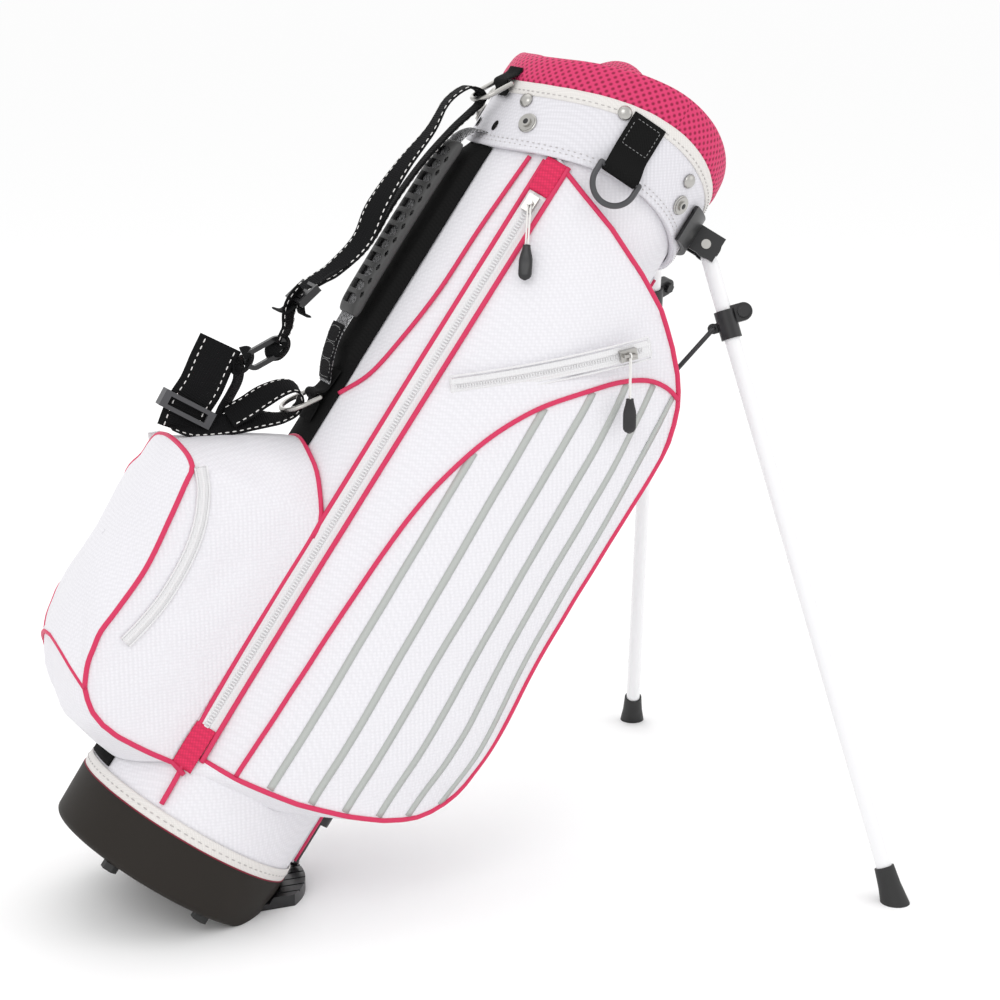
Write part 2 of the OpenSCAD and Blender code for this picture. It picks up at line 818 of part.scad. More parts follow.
clamp_r = 8.8;
clamp_half = 12;
knob_out = 15;
knob_along = -7;
module leg_clamp() {
    color("#202020") in_leg() translate([0, 0, link_down]) difference() {
        union() {
            translate([0, 0, -clamp_half]) cylinder(r = clamp_r, h = 2 * clamp_half);
            translate([-knob_out, -4, knob_along - 7.5]) cube([knob_out, 8, 15]);
            translate([-knob_out, 4, knob_along]) rotate([90, 0, 0]) cylinder(r = 7.5, h = 8);
            intersection() {
                link_frame() translate([0, 0, wire_r + 0.5]) cylinder(r = 4.4, h = 7);
                translate([0, -big / 2, -clamp_half]) cube([big, big, 2 * clamp_half]);
            }
            translate([2, wire_r + 1.4, -4]) cube([link_off - 2, 5, 8]);
        }
        translate([0, 0, -2 * clamp_half]) cylinder(r = leg_r + 0.05, h = 4 * clamp_half);
        link_frame() translate([0, 0, -6]) cylinder(r = wire_r + 0.05, h = 16);
        translate([-knob_out, 5, knob_along]) rotate([90, 0, 0]) cylinder(r = 3, h = 10);
    }
}

module clamp_knob() {
    color("#303030") in_leg() translate([-knob_out, 0, link_down + knob_along]) rotate([90, 0, 0]) {
        translate([0, 0, -5.2]) cylinder(r = 3, h = 10.4);
        translate([0, 0, 4.2]) cylinder(r = 5, h = 3);
        translate([0, 0, -7.2]) cylinder(r = 4.6, h = 3, $fn = 6);
    }
}

// Link wire: closed at the open and the folded end of the travel, free between them
bar_x = 104.5;
tip_y = 12;
tip = [bar_x, -tip_y, yoke_s];
leg_x = cross(leg_a, leg_d);            // across the leg, towards the bag
link_at = pivot + link_down * leg_d + link_off * leg_x;
fold_x = cross(leg_a, [0, 0, -1]);
link_folded = pivot + [0, 0, -link_down] + link_off * fold_x;
wire_v = tip - link_at;
flat_gap = [tip[0] - link_folded[0], tip[1] - link_folded[1]];
bar_travel = yoke_s - link_folded[2] + sqrt(pow(norm(wire_v), 2) - pow(norm(flat_gap), 2));
wire_folded = [flat_gap[0], flat_gap[1], yoke_s - bar_travel - link_folded[2]];
wire_back = (wire_folded * fold_x) * leg_x + (wire_folded * leg_a) * leg_a
    - wire_folded[2] * leg_d;
link_axis = unit(cross(wire_back, wire_v));

// Link pivot, seen from the clamp's own frame: Z along the link hinge
function in_leg_axes(v) = [v * leg_x, v * leg_a, v * leg_d];
module link_frame() {
    frame_at([link_off, 0, 0], in_leg_axes(unit(wire_v)), in_leg_axes(link_axis)) children();
}

tip_r = 2.6;
module link_wire() {
    color("#181818") in_bag() frame_at(link_at, unit(wire_v), link_axis) {
        cylinder(r = wire_r, h = 9.2, $fn = 48);
        sphere(r = wire_r, $fn = 48);
        rotate([-90, 0, 0]) cylinder(r = wire_r, h = norm(wire_v), $fn = 48);
        translate([0, norm(wire_v), 0]) sphere(r = tip_r, $fn = 48);
    }
}

module leg_bracket() {
    out = unit([leg_a[1], -leg_a[0]]);
    color("#202020") in_bag() {
        intersection() {
            ring(cuff_r + 5, cuff_r + 0.3, pivot_s - 16, pivot_s + 16);
            translate([62, -big, 0]) cube([big, 2 * big, big * 2]);
        }
        both_sides() difference() {
            for (t = [plug_w / 2 + 0.4, -plug_w / 2 - 0.4 - ear_t])
                frame_at([0, 0, 0], leg_a, [0, 0, 1]) ear(t);
            frame_at(pivot, leg_a, [0, 0, 1]) translate([0, 20, 0]) rotate([90, 0, 0])
                cylinder(r = pin_r, h = 40);
            cylinder(r = cuff_r + 0.4, h = big * 2);
        }
    }
}

// One ear of a leg's clevis, standing across the hinge axis
module ear(t) {
    at = [pivot * cross(leg_a, [0, 0, 1]), pivot * leg_a];
    translate([0, at[1] + t, 0]) rotate([90, 0, 0]) mirror([0, 0, 1])
        linear_extrude(ear_t) union() {
            translate([at[0] - 22, pivot_s - 10]) square([34, 22]);
            translate([at[0] + 2, pivot_s]) circle(r = 11);
        }
}

module leg_pins() {
    half = plug_w / 2 + 0.4 + ear_t;
    color("silver") in_bag() both_sides() frame_at(pivot, leg_a, [0, 0, 1]) {
        translate([0, half, 0]) rotate([90, 0, 0]) cylinder(r = pin_r, h = 2 * half);
        for (y = [half, -half - 1.2])
            translate([0, y + 1.2, 0]) rotate([90, 0, 0]) cylinder(r = 4, h = 1.2);
    }
}

// ---- Actuator: foot plate, push rod and the cup that carries the wire ends ----
rod_r = 3.5;
rod_x = 106;
rod_end_r = 4.5;
rod_end_s = 56.8;
cup_t = 2;
play_x = 3.1;                           // play of the open pivot between wire ends and cup
play_s = 6.6;
cup_gap = 0.8;
cup_x0 = bar_x - tip_r - cup_gap - cup_t;
cup_x1 = bar_x + play_x + tip_r + cup_gap + cup_t;
cup_half = tip_y + tip_r + cup_gap + cup_t;
cup_low = yoke_s - play_s - tip_r - cup_gap - 4;
cup_high = yoke_s + 3;
module push_rod() {
    color("#1c1c1c") in_bag() {
        translate([rod_x, 0, rod_end_s]) cylinder(r = rod_r, h = cup_low - 0.1 - rod_end_s);
        translate([rod_x, 0, rod_end_s]) sphere(r = rod_end_r);
    }
}

module yoke_cup() {
    color("#282828") in_bag() difference() {
        translate([cup_x0, -cup_half, cup_low])
            cube([cup_x1 - cup_x0, 2 * cup_half, cup_high - cup_low]);
        translate([cup_x0 + cup_t, -cup_half + cup_t, cup_low + 4])
            cube([cup_x1 - cup_x0 - 2 * cup_t, 2 * (cup_half - cup_t), big]);
    }
}

guide_places = [95, 225];
module rod_guides() {
    color("#202020") in_bag() for (s = guide_places) difference() {
        union() {
            translate([tube_r - 4, -9, s]) cube([rod_x - tube_r + 4, 18, 10]);
            translate([rod_x, 0, s]) cylinder(r = 9, h = 10);
            translate([tube_r - 4, -18, s]) cube([7 + 1.5, 36, 10]);
        }
        cylinder(r = tube_r + 3.2, h = big);
        translate([rod_x, 0, s - 1]) cylinder(r = rod_r + 0.05, h = 12);
    }
}

plate_t = 5;
plate_reach = 76;
toe_h = 10;
plate_half = 55;
barrel_half = 50;
module foot_plate() {
    color("#141414") on_floor() difference() {
        union() {
            intersection() {
                translate([hinge_floor_x - 2, 0, 0]) cylinder(r = plate_reach, h = toe_h);
                translate([hinge_floor_x + 7, -plate_half, 0])
                    cube([plate_reach, 2 * plate_half, toe_h]);
            }
            translate([hinge_floor_x, -barrel_half, 1]) cube([9, 2 * barrel_half, 4]);
            translate([hinge_floor_x, -barrel_half, hinge_z]) rotate([-90, 0, 0])
                cylinder(r = 3.3, h = 2 * barrel_half);
        }
        // under the boot the plate is thin; its toe stands up only in front of it
        intersection() {
            translate([hinge_floor_x + 6, -big, plate_t]) cube(2 * big);
            rotated_boot() cylinder(r = boot_r + 1.5, h = big);
        }
        translate([hinge_floor_x, -slot_half, hinge_z]) rotate([-90, 0, 0])
            cylinder(r = foot_pin_r + 0.05, h = 2 * slot_half);
        for (i = [-4 : 4]) translate([0, i * 12 - 1, toe_h - 1.5]) cube([big, 2, 10]);
    }
}

base_boot();
boot_cleats();
tube_shell();
stay_rods();
base_binding();
cuff();
cuff_binding();
rim_pad();
top_divider();
cuff_rivets();
cuff_snaps();
towel_tab();
towel_ring();
spine_strip();
ring_tabs();
d_ring_upper();
d_ring_lower();
handle_webbing();
handle_grip();
strap_upper();
tri_glide();
strap_joiner();
oval_ring();
strap_wide();
slider_buckle();
strap_lower();
ball_pocket();
side_pocket_right();
mirror([0, 1, 0]) side_pocket();  // side_pocket_left
ball_zip();
main_zip();  // main_zip_right
mirror([0, 1, 0]) main_zip();  // main_zip_left
small_zip();
main_slider();
main_pull();
small_slider();
small_pull();
leg_bracket();
leg_pins();
backing_strip();
rod_guides();
push_rod();
yoke_cup();
foot_plate();
foot_pin();
leg_plug();  // leg_plug_right
mirror([0, 1, 0]) leg_plug();  // leg_plug_left
leg_tube();  // leg_tube_right
mirror([0, 1, 0]) leg_tube();  // leg_tube_left
leg_clamp();  // leg_clamp_right
mirror([0, 1, 0]) leg_clamp();  // leg_clamp_left
clamp_knob();  // clamp_knob_right
mirror([0, 1, 0]) clamp_knob();  // clamp_knob_left
leg_foot();  // leg_foot_right
mirror([0, 1, 0]) leg_foot();  // leg_foot_left
link_wire();  // link_wire_right
mirror([0, 1, 0]) link_wire();  // link_wire_left
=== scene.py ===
"""Junior golf stand bag, leaning on its legs: cloth, padding, webbing and finishes over the CAD frame."""
import json
import random
from math import copysign, cos, exp, pi, radians, sin, sqrt

import bmesh
import bpy
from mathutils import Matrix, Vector, noise

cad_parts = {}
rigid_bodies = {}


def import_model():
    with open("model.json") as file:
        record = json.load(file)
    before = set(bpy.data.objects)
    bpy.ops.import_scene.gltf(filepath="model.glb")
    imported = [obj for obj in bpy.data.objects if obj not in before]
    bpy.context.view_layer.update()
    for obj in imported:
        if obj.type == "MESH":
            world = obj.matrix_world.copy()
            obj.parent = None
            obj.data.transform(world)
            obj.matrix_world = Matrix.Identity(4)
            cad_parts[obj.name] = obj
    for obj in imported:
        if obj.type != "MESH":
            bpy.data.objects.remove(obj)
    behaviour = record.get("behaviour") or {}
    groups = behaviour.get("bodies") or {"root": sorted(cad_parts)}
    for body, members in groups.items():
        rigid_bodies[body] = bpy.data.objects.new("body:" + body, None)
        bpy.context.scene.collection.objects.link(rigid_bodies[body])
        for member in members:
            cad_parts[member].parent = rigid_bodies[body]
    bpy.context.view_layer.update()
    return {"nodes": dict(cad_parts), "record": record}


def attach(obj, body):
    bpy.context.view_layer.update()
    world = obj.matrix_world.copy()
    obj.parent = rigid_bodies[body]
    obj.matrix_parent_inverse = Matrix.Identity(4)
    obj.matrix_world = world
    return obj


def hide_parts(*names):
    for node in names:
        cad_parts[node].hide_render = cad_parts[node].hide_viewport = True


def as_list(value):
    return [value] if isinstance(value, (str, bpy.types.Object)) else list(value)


for old in list(bpy.data.objects):
    bpy.data.objects.remove(old, do_unlink=True)
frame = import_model()
NODES = frame["nodes"]
random.seed(7)
scene = bpy.context.scene
scene.view_settings.view_transform = "Standard"

# ---- Bag frame (mm: x to the legs, y left, s along the bag) to the row frame (m) ----
TILT = radians(35)
CT, ST = cos(TILT), sin(TILT)
CONTACT_X = 51  # where the boot's flat heel starts, from the bag axis
BASE_H = CONTACT_X * ST
CENTRE_X = 242.938
TUBE_R, CUFF_R = 93.0, 99.0
CUFF_LOW, CUFF_HIGH, RISE, RIM_H = 637.0, 695.0, 28.0, 26.0


def row(p):
    x, y, s = p
    return Vector((x * CT + s * ST - CENTRE_X, y, BASE_H - x * ST + s * CT)) / 1000


# ---- Camera ----
cam_data = bpy.data.cameras.new("camera")
cam = bpy.data.objects.new("camera", cam_data)
scene.collection.objects.link(cam)
cam_data.lens = 87.0
cam_data.sensor_width = 36
AZ, EL = radians(-23.3), radians(14.4)
back = Vector((sin(AZ) * cos(EL), -cos(AZ) * cos(EL), sin(EL)))
cam.location = Vector((-468.3 - CENTRE_X, -1801.1, 811.6)) / 1000
cam.rotation_euler = back.to_track_quat("Z", "Y").to_euler()
scene.camera = cam

# ---- Small helpers ----
TURN = 2 * pi
ACROSS = Vector((0, 1, 0))
SIDES = (("right", False), ("left", True))


def lerp(a, b, t):
    return a + (b - a) * t


def boxy(c, power):
    """Bends a sine or cosine so that a circle becomes a rounded box."""
    return copysign(abs(c) ** power, c)


def mirror(p, left=True):
    """A point of the right side, or the same point of the left side."""
    return Vector((p[0], -p[1] if left else p[1], p[2]))


def side(path, left):
    return [mirror(p, left) for p in path]


def side_fn(fn, left):
    return (lambda u, v: mirror(fn(u, v))) if left else fn


def heading(P, i):
    return (P[min(i + 1, len(P) - 1)] - P[max(i - 1, 0)]).normalized()


def web_frame(P, i, roll):
    """Directions across a strap and out of its face, turned by roll about its own run."""
    t = heading(P, i)
    nrm = Vector((-t.z, 0, t.x))
    return ACROSS * cos(roll) + nrm * sin(roll), nrm * cos(roll) - ACROSS * sin(roll)


def ring_faces(n, m, start=0):
    """Quads that join n + 1 rings of m corners."""
    quads = []
    for low in range(start, start + n * m, m):
        for k in range(m):
            a, b = low + k, low + (k + 1) % m
            quads.append((a, b, b + m, a + m))
    return quads


def end_faces(n, m):
    """The first and the last of n + 1 rings of m corners, each as one face."""
    return [tuple(range(m)), tuple(n * m + k for k in range(m))]


def smooth(t):
    t = min(max(t, 0.0), 1.0)
    return t * t * (3 - 2 * t)


def curve_at(points, t):
    """Piecewise value: points are (t, value...) in order of t; values come back as a tuple or a number."""
    if t <= points[0][0]:
        out = points[0][1:]
    elif t >= points[-1][0]:
        out = points[-1][1:]
    else:
        for a, b in zip(points, points[1:]):
            if t <= b[0]:
                k = (t - a[0]) / (b[0] - a[0])
                out = tuple(lerp(u, v, k) for u, v in zip(a[1:], b[1:]))
                break
    return out[0] if len(out) == 1 else out


def running(P):
    """Length run at each point of a path."""
    lengths = [0.0]
    for a, b in zip(P, P[1:]):
        lengths.append(lengths[-1] + (b - a).length)
    return lengths


def spline(points, n):
    """n + 1 points evenly spread along a smooth curve through the given ones."""
    P = [Vector(p) for p in points]
    dense = []
    for i in range(len(P) - 1):
        a, b = P[max(i - 1, 0)], P[i]
        c, d = P[i + 1], P[min(i + 2, len(P) - 1)]
        for k in range(16):
            t = k / 16
            dense.append(0.5 * ((2 * b) + (c - a) * t + (2 * a - 5 * b + 4 * c - d) * t * t
                                + (3 * b - a - 3 * c + d) * t ** 3))
    dense.append(P[-1])
    lengths = running(dense)
    out, j = [], 0
    for i in range(n + 1):
        want = lengths[-1] * i / n
        while j < len(lengths) - 2 and lengths[j + 1] < want:
            j += 1
        span = lengths[j + 1] - lengths[j] or 1
        out.append(dense[j].lerp(dense[j + 1], (want - lengths[j]) / span))
    return out


def mesh_object(name, verts, faces, mat, body="bag", uvs=None, shade=True):
    """Verts are in the bag frame, in mm."""
    me = bpy.data.meshes.new(name)
    me.from_pydata([row(v) for v in verts], [], faces)
    me.update()
    if uvs:
        layer = me.uv_layers.new(name="uv")
        for loop in me.loops:
            layer.data[loop.index].uv = uvs[loop.vertex_index]
    if shade:
        me.polygons.foreach_set("use_smooth", [True] * len(me.polygons))
    me.materials.append(mat)
    ob = bpy.data.objects.new(name, me)
    scene.collection.objects.link(ob)
    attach(ob, body)
    return ob


def grid_faces(nu, nv, start=0, close_u=False, flip=False):
    faces = []
    for i in range(nu if close_u else nu - 1):
        for j in range(nv - 1):
            a, b = start + i * nv + j, start + ((i + 1) % nu) * nv + j
            f = (a, b, b + 1, a + 1)
            faces.append(f[::-1] if flip else f)
    return faces


def sheet_mesh(name, fn, nu, nv, thick, mat, close_u=False, flip=False):
    """Closed cloth of even thickness on the surface fn(u, v), u and v from 0 to 1. Thickness goes inwards."""
    pts = [[Vector(fn(i / (nu if close_u else nu - 1), j / (nv - 1))) for j in range(nv)] for i in range(nu)]

    def normal(i, j):
        i0, i1 = ((i - 1) % nu, (i + 1) % nu) if close_u else (max(i - 1, 0), min(i + 1, nu - 1))
        du = pts[i1][j] - pts[i0][j]
        dv = pts[i][min(j + 1, nv - 1)] - pts[i][max(j - 1, 0)]
        n = du.cross(dv)
        if n.length < 1e-9:
            return Vector((0, 0, 0))
        return n.normalized() * (-1 if flip else 1)

    outer = [pts[i][j] for i in range(nu) for j in range(nv)]
    inner = [pts[i][j] - normal(i, j) * thick for i in range(nu) for j in range(nv)]
    count = nu * nv
    faces = grid_faces(nu, nv, 0, close_u, flip) + grid_faces(nu, nv, count, close_u, not flip)
    rim = []
    span = range(nu if close_u else nu - 1)
    for i in span:
        k = (i + 1) % nu
        rim.append((i * nv, k * nv, count + k * nv, count + i * nv))
        rim.append((i * nv + nv - 1, count + i * nv + nv - 1, count + k * nv + nv - 1, k * nv + nv - 1))
    if not close_u:
        for j in range(nv - 1):
            rim.append((j, count + j, count + j + 1, j + 1))
            a = (nu - 1) * nv + j
            rim.append((a, a + 1, count + a + 1, count + a))
    faces += [f[::-1] if not flip else f for f in rim]
    return mesh_object(name, outer + inner, faces, mat)


def tube_mesh(name, path, radius, mat, body="bag", sides=10, closed=False, squash=1.0, up=None):
    """Round piping, cord or wire along a path of bag-frame points."""
    P = [Vector(p) for p in path]
    n = len(P)
    verts = []
    ref = Vector(up) if up else Vector((0.31, 0.87, 0.38))
    for i in range(n):
        a, b = (P[(i - 1) % n], P[(i + 1) % n]) if closed else (P[max(i - 1, 0)], P[min(i + 1, n - 1)])
        t = (b - a).normalized()
        right = t.cross(ref).normalized()
        above = right.cross(t).normalized()
        if not up:
            ref = above
        for k in range(sides):
            w = TURN * k / sides
            verts.append(P[i] + radius * (cos(w) * right + sin(w) * squash * above))
    if closed:
        faces = [tuple(c % (n * sides) for c in f) for f in ring_faces(n, sides)]
    else:
        first, last = end_faces(n - 1, sides)
        faces = ring_faces(n - 1, sides) + [first[::-1], last]
    return mesh_object(name, verts, faces, mat, body)


def strap_mesh(name, path, width, thick, mat, body="strap", wave=0.0, twist=None, n=120, across=8,
               y_shift=0.0):
    """Webbing along a path in the X-S plane, with rounded edges."""
    P = spline([(p[0], 0, p[1]) for p in path], n)
    phase = random.Random(name).random() * 6
    steps = [-1 + 2 * k / across for k in range(across + 1)]
    profile = [(u, 1) for u in steps] + [(u, -1) for u in reversed(steps)]
    verts, uvs = [], []
    m = len(profile)
    total = 0.0
    for i, p in enumerate(P):
        total += (p - P[max(i - 1, 0)]).length
        edge_dir, face = web_frame(P, i, twist(i / n) if twist else 0.0)
        for u, f in profile:
            edge = max(0.0, abs(u) - 0.86) / 0.14
            half = thick / 2 * sqrt(max(0.05, 1 - edge * edge))
            cup = wave * (1 - u * u) * sin(i / n * 9 + phase)
            verts.append(p + ACROSS * y_shift + edge_dir * (u * width / 2) + face * (f * half + cup))
            uvs.append(((u + 1) / 2, total / 1000))
    first, last = end_faces(n, m)
    return mesh_object(name, verts, ring_faces(n, m) + [first, last[::-1]], mat, body, uvs)


def face_outwards(ob):
    bm = bmesh.new()
    bm.from_mesh(ob.data)
    bmesh.ops.recalc_face_normals(bm, faces=bm.faces)
    bm.to_mesh(ob.data)
    bm.free()
    return ob


# ---- Materials ----
def material(name, color, rough=0.6, metal=0.0, sheen=0.0, coat=0.0, spec=0.5):
    m = bpy.data.materials.new(name)
    m.use_nodes = True
    fill(shader(m), {"Base Color": (*color, 1), "Roughness": rough, "Metallic": metal, "Sheen Weight": sheen,
                     "Sheen Roughness": 0.4, "Coat Weight": coat, "Specular IOR Level": spec})
    return m


def shader(m):
    return m.node_tree.nodes["Principled BSDF"]


def fill(n, values):
    for key, value in values.items():
        n.inputs[key].default_value = value


def node(m, kind, values=None, **settings):
    n = m.node_tree.nodes.new(kind)
    for key, value in settings.items():
        setattr(n, key, value)
    fill(n, values or {})
    return n


def link(m, a, b):
    m.node_tree.links.new(a, b)


def coords(m, scale, uv=False, rotate=(0, 0, 0)):
    tc = node(m, "ShaderNodeTexCoord")
    mp = node(m, "ShaderNodeMapping", {"Scale": scale, "Rotation": rotate})
    link(m, tc.outputs["UV" if uv else "Object"], mp.inputs["Vector"])
    return mp.outputs["Vector"]


def add_bump(m, height, strength, distance):
    b = node(m, "ShaderNodeBump", {"Strength": strength, "Distance": distance})
    link(m, height, b.inputs["Height"])
    link(m, b.outputs["Normal"], shader(m).inputs["Normal"])


BIAS = 0.785  # the weave's dots lie on a slant of an eighth of a turn


def dots(m, scale, uv=False, randomness=0.0):
    v = node(m, "ShaderNodeTexVoronoi", {"Scale": 1, "Randomness": randomness},
             voronoi_dimensions="2D" if uv else "3D")
    link(m, coords(m, scale, uv, (0, 0, BIAS)), v.inputs["Vector"])
    return v.outputs["Distance"]


def mix_color(m, factor, low, high, at=(0.2, 0.5)):
    ramp = node(m, "ShaderNodeValToRGB")
    for stop, position, color in zip(ramp.color_ramp.elements, at, (low, high)):
        stop.position = position
        stop.color = (*color, 1)
    link(m, factor, ramp.inputs["Fac"])
    link(m, ramp.outputs["Color"], shader(m).inputs["Base Color"])


def woven(name, color, cell, depth, rough=0.7, sheen=0.15, dark=0.8, randomness=0.0, spec=0.5):
    """Cloth with a weave of the given cell and depth, in metres; dark is the share of the colour in its gaps."""
    m = material(name, color, rough, sheen=sheen, spec=spec)
    d = dots(m, (1 / cell,) * 3, randomness=randomness)
    add_bump(m, d, 0.6, depth)
    mix_color(m, d, color, tuple(c * dark for c in color), (0.25, 0.62))
    return m


WHITE = woven("white_cloth", (0.785, 0.775, 0.81), 0.0026, 0.0005, dark=0.93, randomness=0.25)
CUFF_WHITE = woven("cuff_cloth", (0.73, 0.72, 0.76), 0.0024, 0.0004, dark=0.9)
TAPE_WHITE = woven("tape_white", (0.77, 0.765, 0.775), 0.0014, 0.0002, dark=0.92)
TAPE_CREAM = woven("tape_cream", (0.76, 0.735, 0.71), 0.0014, 0.0002, dark=0.9)
PIPING = material("piping", (0.62, 0.030, 0.105), 0.55, sheen=0.05, spec=0.35)
PINK_MESH = material("pink_mesh", (0.62, 0.045, 0.15), 0.65, sheen=0.05, spec=0.3)
# Holes of the mesh: the dark pink in them is painted shade in the sunken holes, laid over the bump that sinks them.
holes = dots(PINK_MESH, (1 / 0.0046,) * 3, True)
add_bump(PINK_MESH, holes, 0.7, 0.0014)
mix_color(PINK_MESH, holes, (0.26, 0.008, 0.045), (0.66, 0.040, 0.145), (0.16, 0.40))
PINK_CLOTH = woven("pink_cloth", (0.74, 0.026, 0.105), 0.0022, 0.0006, dark=0.75, sheen=0.05, spec=0.3)
STRIPE = material("stripe", (0.44, 0.46, 0.44), 0.45)
BLACK_CLOTH = woven("black_cloth", (0.006, 0.006, 0.006), 0.0012, 0.0003, 0.85, 0.0, 1.7, spec=0.08)
STITCH = material("stitch", (0.78, 0.77, 0.75), 0.7)
# Stitches on the tapes and the cuff hem: their grey is painted shade, standing for the small shadows of the stitches.
SHADED_SEAM_STITCH = material("seam_stitch_painted_shade", (0.50, 0.48, 0.47), 0.7)
GRIP_STITCH = material("grey_stitch", (0.22, 0.22, 0.22), 0.7)
BLACK = material("black_plastic", (0.012, 0.012, 0.013), 0.38)
GREY = material("grey_plastic", (0.055, 0.055, 0.06), 0.4)
GRIP = material("grip_rubber", (0.062, 0.062, 0.062), 0.55, spec=0.3)
RUBBER = material("foot_rubber", (0.014, 0.014, 0.014), 0.6)
BOOT = material("boot_rubber", (0.020, 0.0165, 0.0135), 0.6, spec=0.2)
CHROME = material("plated", (0.46, 0.45, 0.43), 0.33, metal=1)
PAINT = material("white_paint", (0.84, 0.84, 0.85), 0.25, coat=0.5)
BLACK_METAL = material("black_metal", (0.014, 0.014, 0.016), 0.35)
STAY = material("stay", (0.5, 0.48, 0.42), 0.5)
MAROON = material("maroon_thread", (0.22, 0.01, 0.03), 0.7)
# ribbed webbing: the texture runs with the strap's own length; a wave texture repeats every 0.3142 at scale 1
RIB, WAVE = 0.0018, 0.3142
WEB = material("black_webbing", (0.007, 0.007, 0.0075), 0.8, spec=0.1)
ribs = node(WEB, "ShaderNodeTexWave", {"Scale": 1, "Distortion": 0.4}, wave_type="BANDS", bands_direction="Y")
link(WEB, coords(WEB, (10, WAVE / RIB, 1), True), ribs.inputs["Vector"])
add_bump(WEB, ribs.outputs["Fac"], 0.7, 0.0006)
GRIP_WEB = material("patterned_webbing", (0.3, 0.3, 0.31), 0.75, spec=0.2)
weave = dots(GRIP_WEB, (11, 430, 1), True, 0.35)
add_bump(GRIP_WEB, weave, 0.6, 0.0005)
mix_color(GRIP_WEB, weave, (0.44, 0.44, 0.45), (0.025, 0.025, 0.027), (0.22, 0.55))
boot_bump = node(BOOT, "ShaderNodeTexNoise", {"Scale": 900})
add_bump(BOOT, boot_bump.outputs["Fac"], 0.25, 0.0003)

CAD_FINISH = {
    "boot_rubber": BOOT, "foot_rubber": RUBBER, "white_fabric": WHITE, "pink_fabric": PINK_CLOTH,
    "black_fabric": BLACK_CLOTH, "grey_fabric": GRIP_WEB, "grip": GRIP, "black_plastic": BLACK,
    "grey_plastic": GREY, "white_plastic": PAINT, "stay_plastic": STAY, "white_metal": PAINT,
    "black_metal": BLACK_METAL, "plated": CHROME,
}
for sub in frame["record"]["subparts"]:
    mesh = NODES[sub["node"]].data
    mesh.materials.clear()
    mesh.materials.append(CAD_FINISH[sub["material_slot"]])


# ---- Stitches: one mesh of short raised dashes along a path ----
def stitches(name, path, normals, length, gap, width, mat, body="bag"):
    P = [Vector(p) for p in path]
    N = [Vector(n) for n in normals]
    run = running(P)

    def at(s):
        for i in range(len(run) - 1):
            if s <= run[i + 1]:
                k = (s - run[i]) / max(run[i + 1] - run[i], 1e-9)
                return P[i].lerp(P[i + 1], k), N[i].lerp(N[i + 1], k).normalized()
        return P[-1], N[-1]

    verts, faces = [], []
    s = gap
    while s + length < run[-1]:
        (a, na), (b, nb) = at(s), at(s + length)
        t = (b - a).normalized()
        w = t.cross(na).normalized() * width / 2
        lift, sunk = 0.35, 0.15
        base = len(verts)
        nm = (na + nb).normalized()
        for p, k, h in ((a, 0.5, 0.0), (a.lerp(b, 0.2), 1, lift), (a.lerp(b, 0.8), 1, lift), (b, 0.5, 0.0)):
            verts += [p - w * k - nm * sunk, p - w * k * 0.5 + nm * h,
                      p + w * k * 0.5 + nm * h, p + w * k - nm * sunk]
        faces += ring_faces(3, 4, base)
        faces += [(base, base + 3, base + 2, base + 1), (base + 12, base + 13, base + 14, base + 15)]
        s += length + gap
    return mesh_object(name, verts, faces, mat, body)


# ---- Tube and boot rim binding ----
def saddle(a):
    """How far the mouth's edge rises at an angle round the bag: it dips at the spine and at the legs."""
    return RISE * cos(a) ** 2


def on_tube(r, angle, s):
    return Vector((r * sin(angle), -r * cos(angle), s))


def ripple(p, scale, amount):
    return amount * noise.noise(Vector(p) * scale)


def piping(name, path, left=False, radius=2.1):
    tube_mesh(name, side(path, left), radius, PIPING)


def tube_skin(u, v):
    a = TURN * u
    low = max(16, (sin(a) * TUBE_R * ST - BASE_H + 4) / CT)
    s = lerp(low, CUFF_HIGH - 2 + saddle(a), v)
    r = TUBE_R - 0.2 + ripple((sin(a) * 1.2, cos(a) * 1.2, s / 90), 1.4, 0.7) - 0.5
    return on_tube(r, a, s)


skin = sheet_mesh("tube_cloth", tube_skin, 120, 90, 1.8, WHITE, close_u=True)
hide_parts("tube_shell")


def base_tape_fn(u, v):
    a = TURN * u
    s = lerp(46.4, 58, v)
    r = TUBE_R + 1.3 + 0.3 * sin(pi * v) + ripple((sin(a) * 3, cos(a) * 3, s / 30), 1.3, 0.25)
    return on_tube(r, a, s)


base_tape = sheet_mesh("base_tape", base_tape_fn, 120, 8, 1.0, TAPE_CREAM, close_u=True)
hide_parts("base_binding")


def round_path(r, height, follow=0, n=160):
    """Ring round the bag; follow = 1 makes it rise and dip with the mouth."""
    return [on_tube(r, TURN * i / n, height + follow * saddle(TURN * i / n)) for i in range(n + 1)]


def seam_round(name, r, height, follow, length, gap, width):
    path = round_path(r, height, follow)
    normals = [Vector((p[0], p[1], 0)).normalized() for p in path]
    stitches(name, path, normals, length, gap, width, SHADED_SEAM_STITCH)


seam_round("base_stitch", TUBE_R + 1.75, 52, 0, 3.4, 3.0, 1.0)
tube_mesh("boot_rim_thread", round_path(94.2, 46.5)[:-1], 0.7, MAROON, closed=True, sides=8)

# ---- Cuff: stiff cloth, bound at the top, with a folded hem below ----
def cuff_fn(u, v):
    a = TURN * u
    s = lerp(CUFF_LOW + saddle(a), CUFF_HIGH - 3 + saddle(a), v)
    hem = 0.7 * smooth(1 - abs(v - 0.07) / 0.09)
    seam = 0.8 * smooth(1 - abs(v - 0.16) / 0.03)
    r = CUFF_R - 0.7 + hem * 0.5 - seam * 0.5 + ripple((sin(a) * 2, cos(a) * 2, s / 60), 1.2, 0.6)
    return on_tube(r, a, s)


cuff_cloth = sheet_mesh("cuff_cloth", cuff_fn, 160, 40, 5.2, CUFF_WHITE, close_u=True)
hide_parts("cuff")


